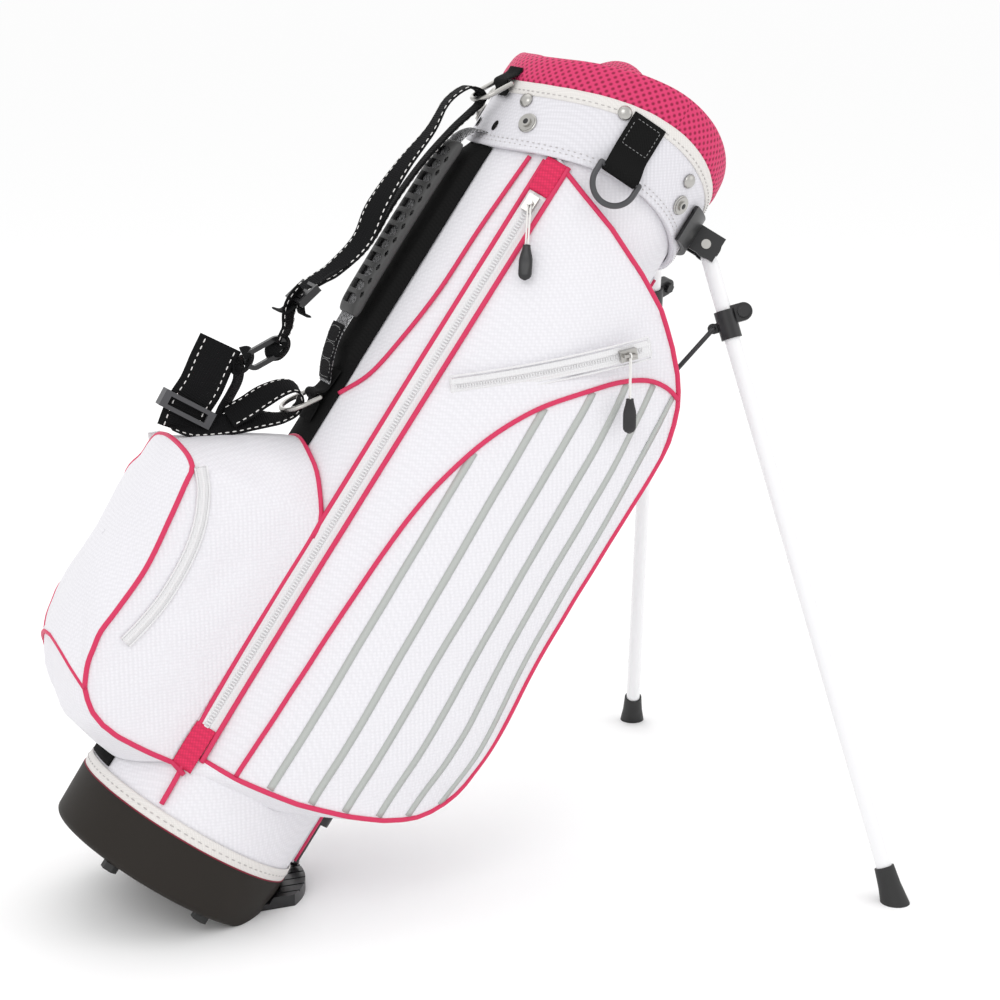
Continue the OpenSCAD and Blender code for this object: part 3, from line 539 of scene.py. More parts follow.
def cuff_top_fn(u, v):
    a = TURN * u
    w = pi * (v - 0.5)
    r = CUFF_R - 0.9 + 2.0 * max(0.0, cos(w)) ** 0.45 + ripple((sin(a) * 8, cos(a) * 8, v), 1.5, 0.25)
    return on_tube(r, a, CUFF_HIGH - 4.6 + saddle(a) + 5.8 * sin(w))


cuff_tape = sheet_mesh("cuff_tape", cuff_top_fn, 200, 15, 1.0, TAPE_CREAM, close_u=True)
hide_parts("cuff_binding")
seam_round("cuff_tape_stitch", CUFF_R + 1.25, CUFF_HIGH - 7.0, 1, 2.8, 2.4, 0.9)
seam_round("cuff_hem_stitch", CUFF_R - 0.1, CUFF_LOW + 8.2, 1, 2.0, 3.0, 0.7)
seam_round("cuff_hem_stitch_low", CUFF_R - 0.1, CUFF_LOW + 4.6, 1, 2.0, 3.0, 0.7)


# ---- Rivets and press studs: turned caps, the studs with a dark socket ----
def cap(name, deg, height, radius, rise, mat, left, out=0.0):
    """Turned cap sitting on the cuff."""
    a = radians(deg)
    n, t = on_tube(1, a, 0), Vector((cos(a), sin(a), 0))
    verts, faces, rings, m = [], [], 9, 32
    for i in range(rings):
        w = i / (rings - 1) * pi / 2
        for k in range(m):
            q = TURN * k / m
            flat = radius * sin(w) if i else 0.02 * radius
            p = n * (CUFF_R + out + rise * cos(w)) + (t * cos(q) + Vector((0, 0, sin(q)))) * flat
            p.z += height
            verts.append(mirror(p, left))
    for i in range(rings - 1):
        for k in range(m):
            f = (i * m + k, (i + 1) * m + k, (i + 1) * m + (k + 1) % m, i * m + (k + 1) % m)
            faces.append(f if left else f[::-1])
    top, foot = end_faces(rings - 1, m)
    faces += [top, foot[::-1]] if left else [top[::-1], foot]
    return mesh_object(name, verts, faces, mat)


for tag, left in SIDES:
    for i, (deg, height) in enumerate(((-70, 683), (-24, 711), (23, 698))):
        rivet = cap("rivet_%s_%d" % (tag, i), deg, height, 6.0, 3.6, CHROME, left)
        if i == 0 and not left:
            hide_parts("cuff_rivets")
    for i, (deg, height) in enumerate(((-62, 667), (27, 679))):
        cap("stud_flange_%s_%d" % (tag, i), deg, height, 8.2, 1.5, CHROME, left)
        cap("stud_core_%s_%d" % (tag, i), deg, height, 2.5, 0.6, BLACK, left, 3.2)


# ---- Padded mouth rim ----
def rim_fn(u, v):
    a = TURN * u
    w = TURN * v + pi
    base = CUFF_HIGH + RIM_H / 2 + 0.6 + saddle(a)
    puff = 1 + 0.05 * noise.noise(Vector((sin(a) * 2.5, cos(a) * 2.5, 4)))
    half_s, half_r = RIM_H / 2 * 1.08, 6.4
    c, s = cos(w), sin(w)
    r = (CUFF_R - 5.2) + half_r * puff * boxy(c, 0.72) - 2.2 * s
    return on_tube(r, a, base + half_s * puff * boxy(s, 0.72))


def loop_uvs(ob, per_face):
    """UVs in metres for each corner, so that a closed form has no squeezed band where it closes."""
    layer = ob.data.uv_layers.new(name="uv")
    for polygon, corners in zip(ob.data.polygons, per_face):
        for loop, uv in zip(polygon.loop_indices, corners):
            layer.data[loop].uv = (uv[0] / 1000, uv[1] / 1000)


def closed_grid(name, fn, nu, nv, mat):
    """Solid of ring sections: closed both ways round, with UVs by true length."""
    verts = [Vector(fn(i / nu, j / nv)) for i in range(nu) for j in range(nv)]
    run = running(verts[:nv] + verts[:1])
    around = TURN * CUFF_R / nu
    faces, uvs = [], []
    for i in range(nu):
        k = (i + 1) % nu
        for j in range(nv):
            faces.append((i * nv + j, k * nv + j, k * nv + (j + 1) % nv, i * nv + (j + 1) % nv))
            a, b = i * around, (i + 1) * around
            uvs.append(((a, run[j]), (b, run[j]), (b, run[j + 1]), (a, run[j + 1])))
    ob = mesh_object(name, verts, faces, mat)
    loop_uvs(ob, uvs)
    return ob


rim = closed_grid("rim_pad_mesh", rim_fn, 220, 36, PINK_MESH)
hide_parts("rim_pad")


# ---- Club divider: padded bar across the mouth and one towards the legs ----
def padded_bar(name, path, width, height, mat, n=60, m=32):
    """Rounded bar along a path; height is downwards from the path. Ends are closed."""
    P = spline(path, n)
    verts = []
    for i, p in enumerate(P):
        t = heading(P, i)
        out = t.cross(Vector((0, 0, 1))).normalized()
        up = out.cross(t).normalized()
        end = 0.8 + 0.2 * smooth(min(i, n - i) / 5)
        for j in range(m):
            w = TURN * j / m
            verts.append(p + out * (boxy(cos(w), 0.75) * width / 2 * end)
                         + up * ((boxy(sin(w), 0.7) - 1) * height / 2))
    along = running(P)
    middle = verts[n // 2 * m:(n // 2 + 1) * m]
    run = running(middle + middle[:1])
    first, last = end_faces(n, m)
    ob = mesh_object(name, verts, ring_faces(n, m) + [first[::-1], last], mat)
    loop_uvs(ob, [((along[i], run[j]), (along[i], run[j + 1]), (along[i + 1], run[j + 1]), (along[i + 1], run[j]))
                  for i in range(n) for j in range(m)])
    return ob


TOP = CUFF_HIGH + RIM_H + 34
HUMP = ((-83, -36), (-60, -15), (-30, 2), (0, 7), (30, 2), (60, -15), (83, -36))
SLOPE = ((-15, 2), (25, -20), (55, -42), (85, -60))
cross_bar = padded_bar("divider_across", [(-21, y, TOP + h) for y, h in HUMP], 24, 52, PINK_MESH)
leg_bar = padded_bar("divider_to_legs", [(x, 0, TOP + h) for x, h in SLOPE], 20, 40, PINK_MESH)
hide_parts("top_divider")


# ---- Side pockets ----
PANEL_C, PANEL_R = (62.8, 26.4), 156.5
X0, X1 = -56.0, 140.5


def panel_top(x):
    return curve_at([(-61, 652), (-35, 641), (0, 630), (40, 614), (70, 599), (96, 579), (112, 564), (121, 553),
                     (128, 542), (133.5, 529), (137.5, 515), (139.8, 500), (140.5, 485)], x)


def panel_bottom(x):
    return curve_at([(-61, 107), (-25, 110), (20, 118), (60, 129), (90, 139), (106, 146.5), (117, 153), (126, 161.5),
                     (133.5, 172), (138.5, 183), (140.5, 194)], x)


def panel_full(x):
    return PANEL_C[1] - sqrt(PANEL_R ** 2 - (x - PANEL_C[0]) ** 2)


def edge_y(x):
    """Depth of the panel's top edge: on the tube at the zip, well off it beside the legs."""
    return curve_at([(-61, -74), (-35, -89), (0, -98.5), (40, -104), (80, -108), (134, -110)], x)


def panel_y(x, s):
    top, low = panel_top(x), panel_bottom(x)
    full = panel_full(x) + 1.0 + 3.0 * (1 - smooth((s - low) / 60))
    full = max(full, -128.5) if x > 40 else full
    k = smooth((top - s) / 130)
    k = k ** 0.8
    y = lerp(max(edge_y(x), full), full, k)
    return y + ripple((x / 60, s / 60, 3), 1.0, 1.3) + ripple((x / 22, s / 30, 9), 1.0, 0.45)


def panel_x(u):
    """Columns crowd towards the leg side, where the outline turns."""
    return X0 + (X1 - X0) * sin(u * pi / 2) ** 0.9


def panel_point(x, s, lift=0.0):
    y = panel_y(x, s)
    nx, ny = (x - PANEL_C[0]) / PANEL_R, (y - PANEL_C[1]) / PANEL_R
    belly = 8 * exp(-((s - 228) / 62) ** 2) * smooth((x - 50) / 85)
    return Vector((x + belly + nx * lift, y + ny * lift, s))


def panel_fn(u, v):
    x = panel_x(u)
    return panel_point(x, lerp(panel_bottom(x), panel_top(x), v))


def seam_on_tube(t):
    """Line on the tube where the gusset is sewn down, t from the tip round to the bottom corner."""
    x, y, s = curve_at([(0.0, -62, -71, 655), (0.18, 0, -94.6, 632), (0.32, 50, -79.5, 600), (0.42, 79, -52, 560),
                        (0.5, 80, -50, 500), (0.75, 80, -50, 190), (0.82, 70, -64, 140), (0.9, 20, -91, 102),
                        (1.0, -62, -71, 92)], t)
    return Vector((x, y, s))


def outline(t):
    """The panel's edge in the same sense: along the top, down the leg side, back along the bottom."""
    if t < 0.4:
        x = panel_x(t / 0.4)
        return panel_point(x, panel_top(x))
    if t < 0.78:
        return panel_point(X1, lerp(panel_top(X1), panel_bottom(X1), (t - 0.4) / 0.38))
    x = panel_x(1 - (t - 0.78) / 0.22)
    return panel_point(x, panel_bottom(x))


def gusset_fn(u, v):
    a, b = outline(u), seam_on_tube(u)
    p = a.lerp(b, v)
    puff = 2.5 * sin(pi * v) * smooth(u * 6) * smooth((1 - u) * 6)
    return p + (p - Vector((40, 0, p.z))).normalized() * puff


OUTLINE = [outline(i / 300) for i in range(301)]
for tag, left in SIDES:
    panel = sheet_mesh("pocket_panel_" + tag, side_fn(panel_fn, left), 110, 150, 2.2, WHITE, flip=left)
    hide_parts("side_pocket_" + tag)
    gusset = sheet_mesh("pocket_gusset_" + tag, side_fn(gusset_fn, left), 300, 10, 1.6, WHITE, flip=not left)
    piping("pocket_piping_" + tag, OUTLINE, left)

# Lower patch of each panel: piping over it and grey stripes on it
PATCH_LINE = [(125, 547), (110, 550), (90, 546), (66, 532), (40, 508), (16, 478), (-2, 442), (-14, 400),
              (-21, 356), (-24, 301), (-26, 229), (-27, 156), (-27, 112)]


def on_panel(path, lift, n=160):
    pts = spline([(x, 0, s) for x, s in path], n)
    return [panel_point(p.x, p.z, lift) for p in pts]


for tag, left in SIDES:
    piping("patch_piping_" + tag, on_panel(PATCH_LINE, 0.6), left, 2.0)


def patch_top(x):
    """Height of the patch piping above a given x."""
    return curve_at(sorted(PATCH_LINE[:10]), x)


def stripe_strip(name, path, width, left):
    """Flat printed stripe lying just proud of the panel."""
    n, deep = 80, 0.9
    pts = on_panel(path, 0.6, n)
    verts = []
    for i, p in enumerate(pts):
        nrm = Vector((p.x - PANEL_C[0], p.y - PANEL_C[1], 0)).normalized()
        w = heading(pts, i).cross(nrm).normalized() * width / 2
        verts += side((p - w - nrm * deep, p - w, p + w, p + w - nrm * deep), left)
    return face_outwards(mesh_object(name, verts, ring_faces(n, 4) + end_faces(n, 4), STRIPE))


for tag, left in SIDES:
    for i, (top_x, low_x) in enumerate(((-7, -3), (20, 29), (47, 56), (72, 84), (97, 108), (120, 130))):
        top = patch_top(top_x) - 1.5
        low = panel_bottom(low_x) + 3
        stripe_strip("stripe_%s_%d" % (tag, i), [(top_x, top), ((top_x + low_x) / 2, (top + low) / 2), (low_x, low)],
                     5.9, left)


# ---- Piping on the tube, main zips and their pink cloth end patches ----
ZIP_A = radians(-39)
ZIP_LOW, ZIP_HIGH = 112, 632


def tube_line(points, r, n=140):
    """Smooth path on the tube through (degrees, height) points."""
    return [on_tube(r, radians(p.x), p.y) for p in spline([(a, s, 0) for a, s in points], n)]


def teeth(name, count, first, pitch, form, at):
    """Row of ridges; form is half foot, half crest, height, half width; at(run, height, across) gives points."""
    foot, crest, rise, half = form
    verts, faces = [], []
    for i in range(count):
        b = len(verts)
        for d, h in ((-foot, 0.0), (-crest, rise), (crest, rise), (foot, 0.0)):
            verts += [at(first + i * pitch + d, h, w) for w in (-half, half)]
        faces += [(b, b + 1, b + 3, b + 2), (b + 2, b + 3, b + 5, b + 4), (b + 4, b + 5, b + 7, b + 6),
                  (b, b + 6, b + 7, b + 1), (b, b + 2, b + 4, b + 6), (b + 1, b + 7, b + 5, b + 3)]
    mesh_object(name, verts, faces, TAPE_WHITE, shade=False)


OUTER_LINE = [(-44.8, 648), (-44.9, 560), (-45, 440), (-44.6, 280), (-44.2, 200), (-42.5, 130), (-39, 95), (-38, 62)]
INNER_LINE = [(-32.8, 652), (-33, 600), (-33.2, 440), (-33.2, 280), (-32.8, 160), (-32.2, 106)]
SPINE_LINE = [(-53, 645), (-55.5, 578), (-56.5, 518), (-60.5, 468), (-66, 432), (-77, 408)]

for tag, left in SIDES:
    piping("zip_piping_outer_" + tag, tube_line(OUTER_LINE, TUBE_R + 1.6), left)
    piping("zip_piping_inner_" + tag, tube_line(INNER_LINE, TUBE_R + 2.6), left)
    piping("spine_piping_" + tag, tube_line(SPINE_LINE, TUBE_R + 0.9), left, 1.8)

    def zip_tape(u, v):
        w = (u - 0.5) * 17.2
        a = ZIP_A + w / TUBE_R
        lip = 0.7 * exp(-((abs(w) - 3.6) / 1.3) ** 2)
        s = lerp(ZIP_LOW, ZIP_HIGH, v)
        r = TUBE_R + 2.1 + lip + ripple((w / 6, s / 40, 2), 1.0, 0.25)
        return on_tube(r, a, s)

    tape = sheet_mesh("zip_tape_" + tag, side_fn(zip_tape, left), 26, 200, 1.4, TAPE_WHITE, flip=left)
    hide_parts("main_zip_" + tag)
    teeth("zip_teeth_" + tag, int((ZIP_HIGH - ZIP_LOW - 24) / 2.6), ZIP_LOW + 12, 2.6, (0.9, 0.5, 1.3, 1.9),
          lambda s, h, w: mirror(on_tube(TUBE_R + 2.4 + h * 0.95, ZIP_A + w / TUBE_R, s), left))
    for end, low, high in (("top", 622, 652), ("bottom", 94, 132)):
        def patch(u, v):
            w = (u - 0.5) * 17
            puff = 1.3 * sin(pi * v) ** 0.5
            return on_tube(TUBE_R + 3.2 + puff, ZIP_A + w / TUBE_R, lerp(low, high, v))
        sheet_mesh("zip_patch_%s_%s" % (end, tag), side_fn(patch, left), 14, 16, 1.2, PINK_CLOTH, flip=left)

# ---- Ball pocket on the spine side: side walls, a crowned front panel, a bottom panel that slopes under ----
# (y, height at the front, depth at the front, height where it meets the tube), from the bottom middle round
NEAR = [(0, 128, -181, 68), (-26, 125, -178, 70), (-48, 119, -170, 79), (-66, 113, -160, 94), (-66, 130, -168, 100),
        (-66, 144, -171, 112), (-66, 157, -173, 132), (-66, 178, -171, 160), (-66, 216, -169, 210),
        (-66, 259, -174, 272), (-66, 286, -178, 312), (-64, 298, -179, 334), (-55, 304, -183, 346),
        (-36, 307, -186, 354), (-12, 308, -187, 360), (8, 307, -186, 361)]
FAR = [(28, 303, -184, 358), (44, 294, -180, 352), (56, 282, -176, 342), (63, 268, -177, 326), (66, 250, -173, 296),
       (66, 216, -169, 226), (66, 178, -171, 166), (66, 157, -173, 134)]
FAR += [(-y, *rest) for y, *rest in NEAR[5:0:-1]]
CORNERS = {(-66, 113), (66, 113)}


def loaf_ring():
    """The keys joined by smooth runs that break at the two sharp bottom corners."""
    keys = NEAR + FAR + NEAR[:1]
    runs, run = [], []
    for key in keys:
        run.append(key)
        if key[:2] in CORNERS:
            runs.append(run)
            run = [key]
    runs.append(run)
    out = []
    for run in runs:
        flat = spline([(y, s, d) for y, s, d, _ in run], 4 * len(run))
        tube = spline([(y, s, t) for y, s, _, t in run], 4 * len(run))
        out += [(p.x, p.y, p.z, q.z) for p, q in zip(flat[:-1], tube[:-1])]
    return out


RING = loaf_ring()
NR = len(RING)
UNDER_MID = [(0, 0), (0.2, 0.05), (0.5, 0.18), (0.6, 0.32), (0.76, 0.63), (0.95, 0.93), (1, 1)]
UNDER_EDGE = [(0, 0), (0.55, 0.0), (0.7, 0.08), (0.84, 0.34), (0.93, 0.66), (1, 1)]


def loaf_wall(u, v):
    """Side, top and bottom walls: v = 0 on the tube, 1 on the front piping."""
    y_f, s_f, x_f, s_t = RING[round(u * NR) % NR]
    y_t = y_f * 1.03
    x_t = -sqrt(max(1.0, (TUBE_R + 1.5) ** 2 - y_t * y_t))
    under = smooth((abs(y_f) - 20) / 44)
    low = lerp(curve_at(UNDER_MID, v), curve_at(UNDER_EDGE, v), under)
    g = lerp(low, v ** 1.1, smooth((s_f - 128) / 60)) if s_f < 188 or abs(y_f) > 65 else v ** 1.1
    p = Vector((lerp(x_t, x_f, v), lerp(y_t, y_f, v), lerp(s_t, s_f, g)))
    belly = sin(pi * v)
    n = Vector((0, p.y, (p.z - 215) * 0.55)).normalized()
    crease = ripple((p.x / 32, p.y / 40, p.z / 48), 1.0, 1.7) + ripple((p.x / 15, p.y / 18, p.z / 22), 1.0, 0.6)
    side_like = smooth((abs(y_f) - 56) / 8)
    return p + n * (belly * (1.6 * side_like + 0.8 + crease))


def loaf_front(u, v):
    """Front panel: v = 0 on the piping, 1 in its middle."""
    y, s, x, _ = RING[round(u * NR) % NR]
    mid = Vector((-188.5, 0, 218))
    crown = sin(min(1.0, v * 1.15) * pi / 2)
    p = Vector((lerp(x, mid.x, crown), lerp(y, mid.y, v), lerp(s, mid.z, v)))
    p.x += ripple((p.y / 40, p.z / 42, 5), 1.0, 1.3) * crown
    return p


wall = sheet_mesh("ball_pocket_walls", loaf_wall, NR, 46, 2.0, WHITE, close_u=True)
front = sheet_mesh("ball_pocket_front", loaf_front, NR, 44, 2.0, WHITE, close_u=True, flip=True)
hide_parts("ball_pocket")


def proud(p, lift=0.9):
    """A piping's middle line stands just off the seam, away from the middle of the pocket."""
    return p + Vector((-0.5, p.y / 90, (p.z - 215) / 160)).normalized() * lift


FIRST = max(i for i, r in enumerate(RING) if r[0] < -65.9 and abs(r[1] - 113) < 0.3)
LAST = next(i for i, r in enumerate(RING) if r[0] > 65.9 and abs(r[1] - 113) < 0.3)
for tag, left in SIDES:
    k = LAST if left else FIRST
    under_edge = [proud(loaf_wall(k / NR, j / 30), 0.4) for j in range(31)]
    under_edge.insert(0, mirror((-57, -78, 91), left))
    piping("ball_pocket_low_piping_" + tag, under_edge)
around = [proud(loaf_front(i / NR, 0)) for i in range(FIRST, LAST + 1)]
piping("ball_pocket_piping", around)
lower = [proud(loaf_front(i / NR, 0)) for i in list(range(LAST, NR)) + list(range(0, FIRST + 1))]
piping("ball_pocket_front_piping", lower, radius=1.9)
top_seam = [loaf_wall(i / NR, 0.0) for i in range(NR) if RING[i][3] > 300]
piping("ball_pocket_top_piping", top_seam, radius=2.0)

BALL_ZIP = [(-175, 303), (-163, 288), (-152, 264), (-146, 236), (-144.5, 205), (-147.5, 180), (-152.5, 158)]
WALL_GRID = [loaf_wall(i / NR, j / 60) for i, r in enumerate(RING) if r[0] < -63 for j in range(61)]


def wall_y(x, s):
    """Side wall of the ball pocket near its zip: the mean of the wall's closest points."""
    close = sorted(((p.x - x) ** 2 + (p.z - s) ** 2, p.y) for p in WALL_GRID)[:6]
    return sum(y for _, y in close) / len(close)


for tag, left in SIDES:
    path = spline([(x, 0, s) for x, s in BALL_ZIP], 90)
    lip_out = []
    for off, rad in ((-4.6, 0.8), (4.6, 0.8), (0.0, 1.5)):
        pts = []
        for i, p in enumerate(path):
            q = p + web_frame(path, i, 0)[1] * off
            pts.append(Vector((q.x, wall_y(q.x, q.z) - 1.3, q.z)))
        lip_out.append(pts)
        tube_mesh("ball_zip_%s_%d" % (tag, int(off * 10)), side(pts, left), rad, TAPE_WHITE, sides=8, squash=0.7)
    verts = []
    for a, b in zip(lip_out[0], lip_out[1]):
        verts += side((a, b, b + ACROSS * 2.4, a + ACROSS * 2.4), left)
    strip = mesh_object("ball_zip_tape_" + tag, verts, ring_faces(90, 4) + end_faces(90, 4), TAPE_WHITE)
    if not left:
        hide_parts("ball_zip")


# ---- Small zip across the right panel: a stitched window with a fine coil ----
SMALL_R = 296.0
SMALL_C = Vector((PANEL_C[0], PANEL_C[1] - PANEL_R + SMALL_R, 562.8))
SMALL_T = Vector((cos(pi / 4), 0, sin(pi / 4)))
SMALL_N = Vector((-sin(pi / 4), 0, cos(pi / 4)))


def small_arc(deg, r, across=0.0):
    a = radians(deg)
    return SMALL_C + SMALL_T * (cos(a) * r) + Vector((0, sin(a) * r, 0)) + SMALL_N * across


def small_tape(u, v):
    w = (v - 0.5) * 13
    lip = 0.9 * exp(-((abs(w) - 2.9) / 1.0) ** 2)
    return small_arc(lerp(-120.4, -88.8, u), SMALL_R + 0.9 + lip, w)


window = sheet_mesh("small_zip_tape", small_tape, 120, 22, 1.8, TAPE_WHITE)
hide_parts("small_zip")
teeth("small_zip_teeth", int(29.5 / 0.42), -119.4, 0.42, (0.13, 0.07, 1.0, 1.4),
      lambda deg, h, w: small_arc(deg, SMALL_R + 1.2 + h, w))
frame_run = []
for d0, d1, w0, w1 in ((-120.1, -89.1, 8.6, 8.6), (-89.1, -89.1, 8.6, -8.6), (-89.1, -120.1, -8.6, -8.6),
                       (-120.1, -120.1, -8.6, 8.6)):
    for k in range(24):
        t = k / 24
        frame_run.append(small_arc(lerp(d0, d1, t), SMALL_R + 0.6, lerp(w0, w1, t)))
tube_mesh("small_zip_welt", frame_run, 0.9, TAPE_WHITE, closed=True, sides=8)


# ---- Zip pulls: a doubled cord and a moulded tab, over the CAD pulls ----
def pull_mesh(name, node_name, body, pivot, normal, on_bar=False):
    """pivot and normal are in the bag frame; the cord loops round a pin along the normal, or a bar across it."""
    down = Vector((ST, 0, -CT))
    n = Vector(normal).normalized()
    d = (down - n * down.dot(n)).normalized()
    w = d.cross(n)

    def at(a, b, c):
        return Vector(pivot) + w * a + d * b + n * c
    eye = 2.05
    strands = [(-0.9, 36), (-1.0, 20), (-1.2, 5)]
    strands += [(eye * sin(t), -eye * cos(t)) for t in [radians(k) for k in range(-150, 151, 20)]]
    strands += [(1.2, 5), (1.0, 20), (0.9, 36)]
    cord_path = [at(0, b, a) if on_bar else at(a, b, 0) for a, b in strands]
    cord = tube_mesh(name + "_cord", spline(cord_path, 90), 0.72, STITCH, body, sides=8, up=w if on_bar else n)
    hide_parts(node_name)
    verts, m, k = [], 24, 18
    for i in range(k + 1):
        v = i / k
        half = (5.4 - 2.4 * (1 - smooth(v * 2.2))) * sqrt(max(0.02, 1 - max(0.0, (v - 0.8) / 0.2) ** 2))
        dep = 2.9 * sqrt(max(0.05, 1 - max(0.0, (v - 0.85) / 0.15) ** 2)) * (0.75 + 0.25 * smooth(v * 3))
        for j in range(m):
            a = TURN * j / m
            dent = 0.55 * exp(-((v - 0.55) / 0.18) ** 2) * (abs(sin(a)) ** 3)
            verts.append(at(half * boxy(cos(a), 0.7), 34 + 28 * v, (dep - dent) * boxy(sin(a), 0.8)))
    first, last = end_faces(k, m)
    mesh_object(name + "_tab", verts, ring_faces(k, m) + [first[::-1], last], BLACK, body)


WALL_N = Vector((sin(ZIP_A), -cos(ZIP_A), 0))
PULL_OUT, BAR_OUT = 6.9, 7.8
pull_mesh("main_pull", "main_pull", "main_pull", WALL_N * (TUBE_R + 2.8 + PULL_OUT) + Vector((0, 0, 612)), WALL_N)
small_a = radians(-93)
SN = SMALL_T * cos(small_a) + Vector((0, sin(small_a), 0))
pull_mesh("small_pull", "small_pull", "small_pull", SMALL_C + SN * (SMALL_R + 1.4 + BAR_OUT), SN, on_bar=True)

# ---- Towel tab ----
TOWEL_A = radians(-12)


def towel_fn(u, v):
    w = (u - 0.5) * 30
    s = lerp(668, 716.5, v)
    r = CUFF_R + 2.1
    swell = 8.3 * smooth((688 - s) / 20)
    a = TOWEL_A + w / CUFF_R * 0.97
    rr = r + swell + 0.5 * sin(pi * v) + ripple((w / 12, s / 20, 3), 1.0, 0.3)
    return on_tube(rr, a, s)


tab = sheet_mesh("towel_tab_cloth", towel_fn, 24, 40, 1.7, BLACK_CLOTH)
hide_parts("towel_tab")


def towel_roll(r):
    """Wall of radius r round the bar that carries the towel ring."""
    t = Vector((cos(TOWEL_A), sin(TOWEL_A), 0))
    n = Vector((sin(TOWEL_A), -cos(TOWEL_A), 0))

    def at(u, v):
        w = TURN * v
        return n * (CUFF_R + 6 + r * cos(w)) + t * ((u - 0.5) * 29.6) + Vector((0, 0, 668 + r * sin(w)))
    return at


def sleeve(name, outer, inner, m, mat):
    """Straight sleeve with square ends, of m steps round; outer and inner give its two walls."""
    verts = [wall(u, j / m) for wall in (outer, inner) for u in (0, 1) for j in range(m)]
    faces, c = [], 2 * m
    for a, b, d, e in ring_faces(1, m):
        faces += [(a, b, d, e), (c + a, c + e, c + d, c + b)]
    for j in range(m):
        b = (j + 1) % m
        faces += [(j, c + j, c + b, b), (m + j, m + b, c + m + b, c + m + j)]
    return face_outwards(mesh_object(name, verts, faces, mat))


sleeve("towel_tab_loop", towel_roll(4.5), towel_roll(2.9), 28, BLACK_CLOTH)

TAB_BOX = [(-11, 712.5), (11, 712.5), (11, 690), (-11, 690), (-11, 712.5)]
tab_line, tab_normal = [], []
for (w0, s0), (w1, s1) in zip(TAB_BOX, TAB_BOX[1:]):
    for k in range(12):
        a = TOWEL_A + lerp(w0, w1, k / 12) / CUFF_R
        tab_line.append(on_tube(CUFF_R + 2.75, a, lerp(s0, s1, k / 12)))
        tab_normal.append(on_tube(1, a, 0))
stitches("towel_tab_stitch", tab_line, tab_normal, 2.2, 1.4, 0.7, GRIP_STITCH)


# ---- Eyelets in the cuff beside the spine ----
def eyelet(u, v, sign):
    a = radians(-90) + sign * 17 / CUFF_R
    w = TURN * u
    return on_tube(CUFF_R + 0.25 * (1 - v), a + sign * 2.6 * v * cos(w) / CUFF_R, 655 + 4.4 * v * sin(w))


for tag, left in SIDES:
    sgn = -1 if left else 1
    sheet_mesh("cuff_eyelet_" + tag, lambda u, v: eyelet(u, 0.04 + 0.96 * v, sgn), 28, 6, 0.4, BLACK_CLOTH,
               close_u=True, flip=left)

# ---- Spine strip, ring tabs ----
def spine_fn(u, v):
    a = radians(-90) + (u - 0.5) * 44 / TUBE_R
    s = lerp(60, CUFF_LOW + 1, v)
    pad = 7.5 * smooth((s - 420) / 25) * smooth((645 - s) / 25) * smooth((0.5 - abs(u - 0.5)) / 0.2)
    return on_tube(TUBE_R + 1.9 + pad + ripple((u * 2, s / 70, 1), 1.0, 0.35), a, s)


spine = sheet_mesh("spine_cloth", spine_fn, 24, 160, 1.6, BLACK_CLOTH)
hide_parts("spine_strip")


def back_fn(u, v):
    a = radians(90) + (u - 0.5) * 56 / TUBE_R
    s = lerp(60, CUFF_LOW - 8, v)
    return on_tube(TUBE_R + 2.7 + ripple((u * 2, s / 70, 1), 1.0, 0.2), a, s)


backing = sheet_mesh("backing_cloth", back_fn, 24, 120, 2.2, WHITE)
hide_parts("backing_strip")
for sgn in (-1, 1):
    a = radians(90) + sgn * 27 / TUBE_R
    seam = [on_tube(TUBE_R + 3.0, a, lerp(62, CUFF_LOW - 10, k / 60)) for k in range(61)]
    piping("backing_piping_%d" % (sgn + 1), seam, radius=1.6)


UPPER_TAB = [(-101.0, 706), (-101.6, 700), (-106.4, 692), (-106.8, 689), (-104.6, 686.6), (-101.6, 684.5),
             (-101.2, 680)]
LOWER_TAB = [(-96.4, 424), (-97.2, 410), (-99.0, 402.5), (-103.4, 399.6), (-104.0, 396), (-101.0, 393.6),
             (-97.6, 391), (-96.8, 376)]
upper_tab = strap_mesh("upper_ring_tab", UPPER_TAB, 26, 1.5, BLACK_CLOTH, "bag", n=60)
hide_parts("ring_tabs")
strap_mesh("lower_ring_tab", LOWER_TAB, 26, 1.5, BLACK_CLOTH, "bag", n=60)


# ---- Carry grip and its patterned webbing ----
HANDLE = [(-96.2, 648), (-104, 645), (-110, 638), (-113, 628), (-114.5, 600), (-115, 547), (-114.5, 490), (-113, 466),
          (-112, 445), (-106, 425), (-98.5, 410)]
handle_web = strap_mesh("handle_web", HANDLE, 25.5, 1.8, GRIP_WEB, "bag", n=160)
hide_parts("handle_webbing")
HANDLE_END = [(-114.6, 456), (-113.2, 446), (-107.4, 426.5), (-100.2, 412)]
strap_mesh("handle_end_web", HANDLE_END, 26.5, 1.6, WEB, "bag", n=60)
for k in range(3):
    low_s, high_s = 414 + 13.5 * k, 424.5 + 13.5 * k
    box = []
    for y, s in ((-9.5, low_s), (9.5, low_s), (9.5, high_s), (-9.5, high_s), (-9.5, low_s)):
        box.append((curve_at([(412, -101.1), (426.5, -108.4), (446, -114.2), (456, -115.6)], s), y, s))
    stitches("handle_box_stitch_%d" % k, spline(box, 60), [(-0.9, 0, 0.3)] * 61, 2.0, 1.2, 0.8, GRIP_STITCH)


GRIP_STEPS, GRIP_LONG, GRIP_END, WINDOWS = 330, 162, 5, 12


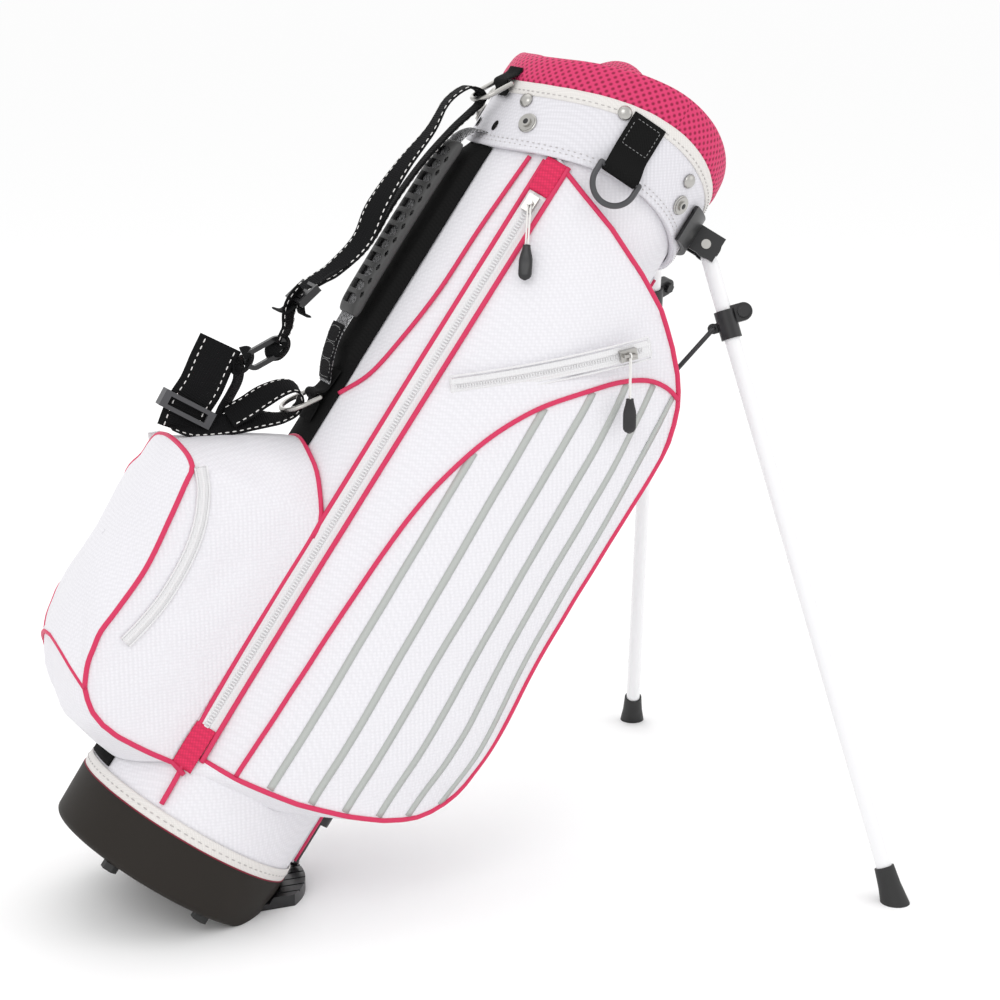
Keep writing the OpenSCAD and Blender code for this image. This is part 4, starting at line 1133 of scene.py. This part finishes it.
def grip_build():
    """Moulded grip: a rounded bar with big windows on its outer face and small holes along both flanks."""
    path = spline([(p[0], 0, p[1]) for p in HANDLE[3:8]], GRIP_STEPS)
    n, m = len(path), 72
    outer, inner, holes = [], [], set()
    for i, p in enumerate(path):
        t = heading(path, i)
        nrm = Vector((-abs(t.z), 0, t.x * (1 if t.z < 0 else -1)))
        end = sqrt(max(0.0, 1 - max(0.0, 1 - min(i, GRIP_STEPS - i) / 20) ** 2))
        for j in range(m):
            w = TURN * j / m
            a = boxy(cos(w), 0.6) * (17.3 * (0.86 + 0.14 * end))
            b = boxy(sin(w), 0.75) * (5.6 * (0.5 + 0.5 * end))
            outer.append(p + Vector((0, a, 0)) + nrm * b)
            inner.append(p + (outer[-1] - p) * 0.62)
    c = n * m
    open_run = GRIP_LONG - 2 * GRIP_END
    pitch = open_run / WINDOWS
    for i in range(n - 1):
        s = (i + 0.5) / (n - 1) * GRIP_LONG - GRIP_END
        in_s = (s % pitch) / pitch - 0.5
        for j in range(m):
            w = (j + 0.5) / m * 360
            window = (abs(w - 90) / 43) ** 3 + (abs(in_s) / 0.34) ** 3
            small = (min(abs(w - 28), abs(w - 152)) / 11) ** 2 + ((abs(in_s) - 0.5) / 0.22) ** 2
            if (0 < s < open_run and window < 1) or (8 < s < open_run - 8 and small < 1):
                holes.add((i, j))
    faces = []
    for i in range(n - 1):
        for j in range(m):
            a, b = i * m + j, i * m + (j + 1) % m
            if (i, j) not in holes:
                faces.append((a, b, b + m, a + m))
                faces.append((c + a, c + a + m, c + b + m, c + b))
                for di, dj, e in ((-1, 0, (a, b)), (1, 0, (b + m, a + m)), (0, -1, (a + m, a)), (0, 1, (b, b + m))):
                    if (i + di, (j + dj) % m) in holes:
                        faces.append((e[1], e[0], c + e[0], c + e[1]))
    for i, flip in ((0, False), (n - 1, True)):
        for j in range(m):
            a, b = i * m + j, i * m + (j + 1) % m
            f = (a, c + a, c + b, b)
            faces.append(f[::-1] if flip else f)
    return mesh_object("grip", outer + inner, faces, GRIP)


grip = grip_build()
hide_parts("handle_grip")

# ---- Shoulder strap ----
def edge_stitches(name, path, width, twist, offset=0.8, n=160, thick=2.0):
    """Dashed lines along both edges of a strap, on its outer face."""
    pts = spline([(p[0], 0, p[1]) for p in path], n)
    for sgn, end in ((-1, "_a"), (1, "_b")):
        line, normal = [], []
        for i, p in enumerate(pts):
            edge, face = web_frame(pts, i, twist(i / n))
            line.append(p + edge * (sgn * width / 2 * offset) + face * thick / 2)
            normal.append(face)
        stitches(name + end, line, normal, 3.4, 2.6, 1.1, STITCH, "strap")


def sewn_strap(name, path, width, thick, n, twist, turned=False, lift=2.0):
    """Strap with dashed lines along its edges, on its outer face or, turned, on the other one."""
    web = strap_mesh(name, path, width, thick, WEB, n=n, twist=twist)
    if turned:
        path, twist = path[::-1], lambda t, roll=twist: -roll(1 - t)
    edge_stitches(name.replace("_web", "") + "_stitch", path, width, twist, n=n, thick=lift)
    return web


OUTER = [(-112.5, 669), (-116.5, 672.5), (-122, 672.5), (-130, 667.5), (-136.5, 650), (-135.5, 624), (-139.5, 588),
         (-140, 551), (-135.5, 520), (-142.5, 490), (-149, 477), (-154.5, 466), (-158.5, 455)]


def outer_twist(t):
    return curve_at([(0, 0.0), (0.2, 0.1), (0.45, -0.25), (0.62, -0.55), (0.8, -0.35), (1, -0.1)], t)


over = sewn_strap("strap_outer", OUTER, 22.5, 2.0, 200, outer_twist, turned=True)
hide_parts("strap_upper")
INNER = [(-112.5, 669), (-112.2, 663), (-114.5, 655), (-120.5, 634), (-127, 600), (-130, 560), (-129, 528),
         (-132, 508), (-140, 492), (-147, 478.5), (-152.5, 466.5)]
sewn_strap("strap_inner", INNER, 20, 2.0, 200, lambda t: 0.15 * sin(pi * t))
TAIL = [(-156, 462), (-158, 450), (-156, 441), (-150.5, 431), (-149.5, 423), (-148.5, 416)]
tail = sewn_strap("strap_joiner_web", TAIL, 21, 2.4, 80, lambda t: 0.95 - 0.3 * t, turned=True, lift=-2.9)
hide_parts("strap_joiner")
strap_mesh("strap_tail", [(-152, 452), (-146, 446), (-141.5, 447)], 22, 1.8, WEB, n=40)
strap_mesh("strap_tail_end", [(-157, 447), (-160, 440), (-166, 437.5)], 22, 1.8, WEB, n=40)
strap_mesh("strap_ring_loop_upper", [(-149, 418), (-144, 421), (-140.6, 416), (-142, 408), (-147, 405), (-151, 409),
           (-150, 416)], 15, 1.8, WEB, n=80, twist=lambda t: 0.55)
WIDE = [(-190.5, 392.5), (-188.5, 375), (-185.5, 355), (-185.5, 336), (-181.5, 316)]
wide = strap_mesh("strap_wide_web", WIDE, 37, 2.6, WEB, twist=lambda t: pi / 2, across=12, wave=0.5)
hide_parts("strap_wide")
edge_stitches("strap_wide_stitch", WIDE, 37, lambda t: pi / 2, offset=0.72, thick=2.9)
strap_mesh("strap_ring_loop_lower", [(-171, 394), (-166, 398), (-161.5, 394), (-161, 386), (-165, 380), (-171, 382)],
           14, 1.8, WEB, n=80, twist=lambda t: 0.55)
strap_mesh("strap_back_run", [(-170, 390), (-160.5, 376), (-158.5, 362), (-158, 348), (-155, 333)],
           22, 2.2, WEB, n=80, twist=lambda t: 0.7, y_shift=6.0)

LOW = [(-190, 316), (-178, 322), (-163, 331.5), (-150, 341), (-138, 350.5), (-126.5, 358.5), (-115.5, 366),
       (-108.3, 374.5), (-106.8, 384), (-111, 391.5), (-119.5, 393.5), (-128, 387), (-137, 373.5), (-144, 359),
       (-152.4, 345)]


def low_twist(t):
    return curve_at([(0, 0.2), (0.1, 0.85), (0.3, 0.85), (0.42, 0.45), (0.5, 0.15), (0.6, -0.05), (0.7, -0.35),
                     (0.82, -0.7), (1, -0.8)], t)


low = sewn_strap("strap_lower_web", LOW, 21.5, 2.0, 220, low_twist)
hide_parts("strap_lower")
# the folded-back end shows its other face, so its stitches run on that side
FOLD_FROM, FOLD_SHARE = 8, 0.409
edge_stitches("strap_fold_stitch", LOW[:FOLD_FROM - 1:-1], 21.5, lambda t: -low_twist(1 - FOLD_SHARE * t), n=120)

# ---- What each cloth piece was cut to ----
for piece, flat, area, on in (
        (skin, (0.581, 0.69), None, ["base_boot"]), (cuff_cloth, (0.618, 0.056), None, [skin]),
        (front, (0.152, 0.212), 0.0255, [wall]), (wall, (0.66, 0.135), 0.076, [skin]),
        (tab, (0.030, 0.052), None, [cuff_cloth]), (spine, (0.044, 0.578), None, [skin]),
        (backing, (0.056, 0.569), None, [skin])):
    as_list(on)

# ---- Room ----
floor_mesh = bpy.data.meshes.new("floor")
FAR_OFF = 60
floor_mesh.from_pydata([(x * FAR_OFF, y * FAR_OFF, 0) for x, y in ((-1, -1), (1, -1), (1, 1), (-1, 1))], [],
                       [(0, 1, 2, 3)])
floor = bpy.data.objects.new("floor", floor_mesh)
FLOOR = material("floor", (0.98, 0.98, 0.98), 0.9, spec=0.0)
floor_noise = node(FLOOR, "ShaderNodeTexNoise", {"Scale": 3})
mix_color(FLOOR, floor_noise.outputs["Fac"], (0.975, 0.975, 0.975), (0.985, 0.985, 0.985), (0.3, 0.7))
floor_mesh.materials.append(FLOOR)
scene.collection.objects.link(floor)

world = bpy.data.worlds.new("studio")
world.use_nodes = True
fill(world.node_tree.nodes["Background"], {"Color": (1.0, 1.0, 1.0, 1), "Strength": 1.0})
scene.world = world

LAMP_AIM = Vector((0, 0, 0.3))
for name, at, size, power in (("key", (-1.6, -2.0, 2.4), 1.6, 17), ("fill", (2.2, -1.6, 1.4), 1.8, 6),
                              ("top", (0.2, 0.6, 2.6), 2.0, 6), ("rear", (0.5, 2.4, 1.4), 1.6, 5)):
    data = bpy.data.lights.new(name, "AREA")
    data.shape = "DISK"
    data.size = size
    data.energy = power
    ob = bpy.data.objects.new(name, data)
    ob.location = at
    ob.rotation_euler = (Vector(at) - LAMP_AIM).to_track_quat("Z", "Y").to_euler()
    scene.collection.objects.link(ob)
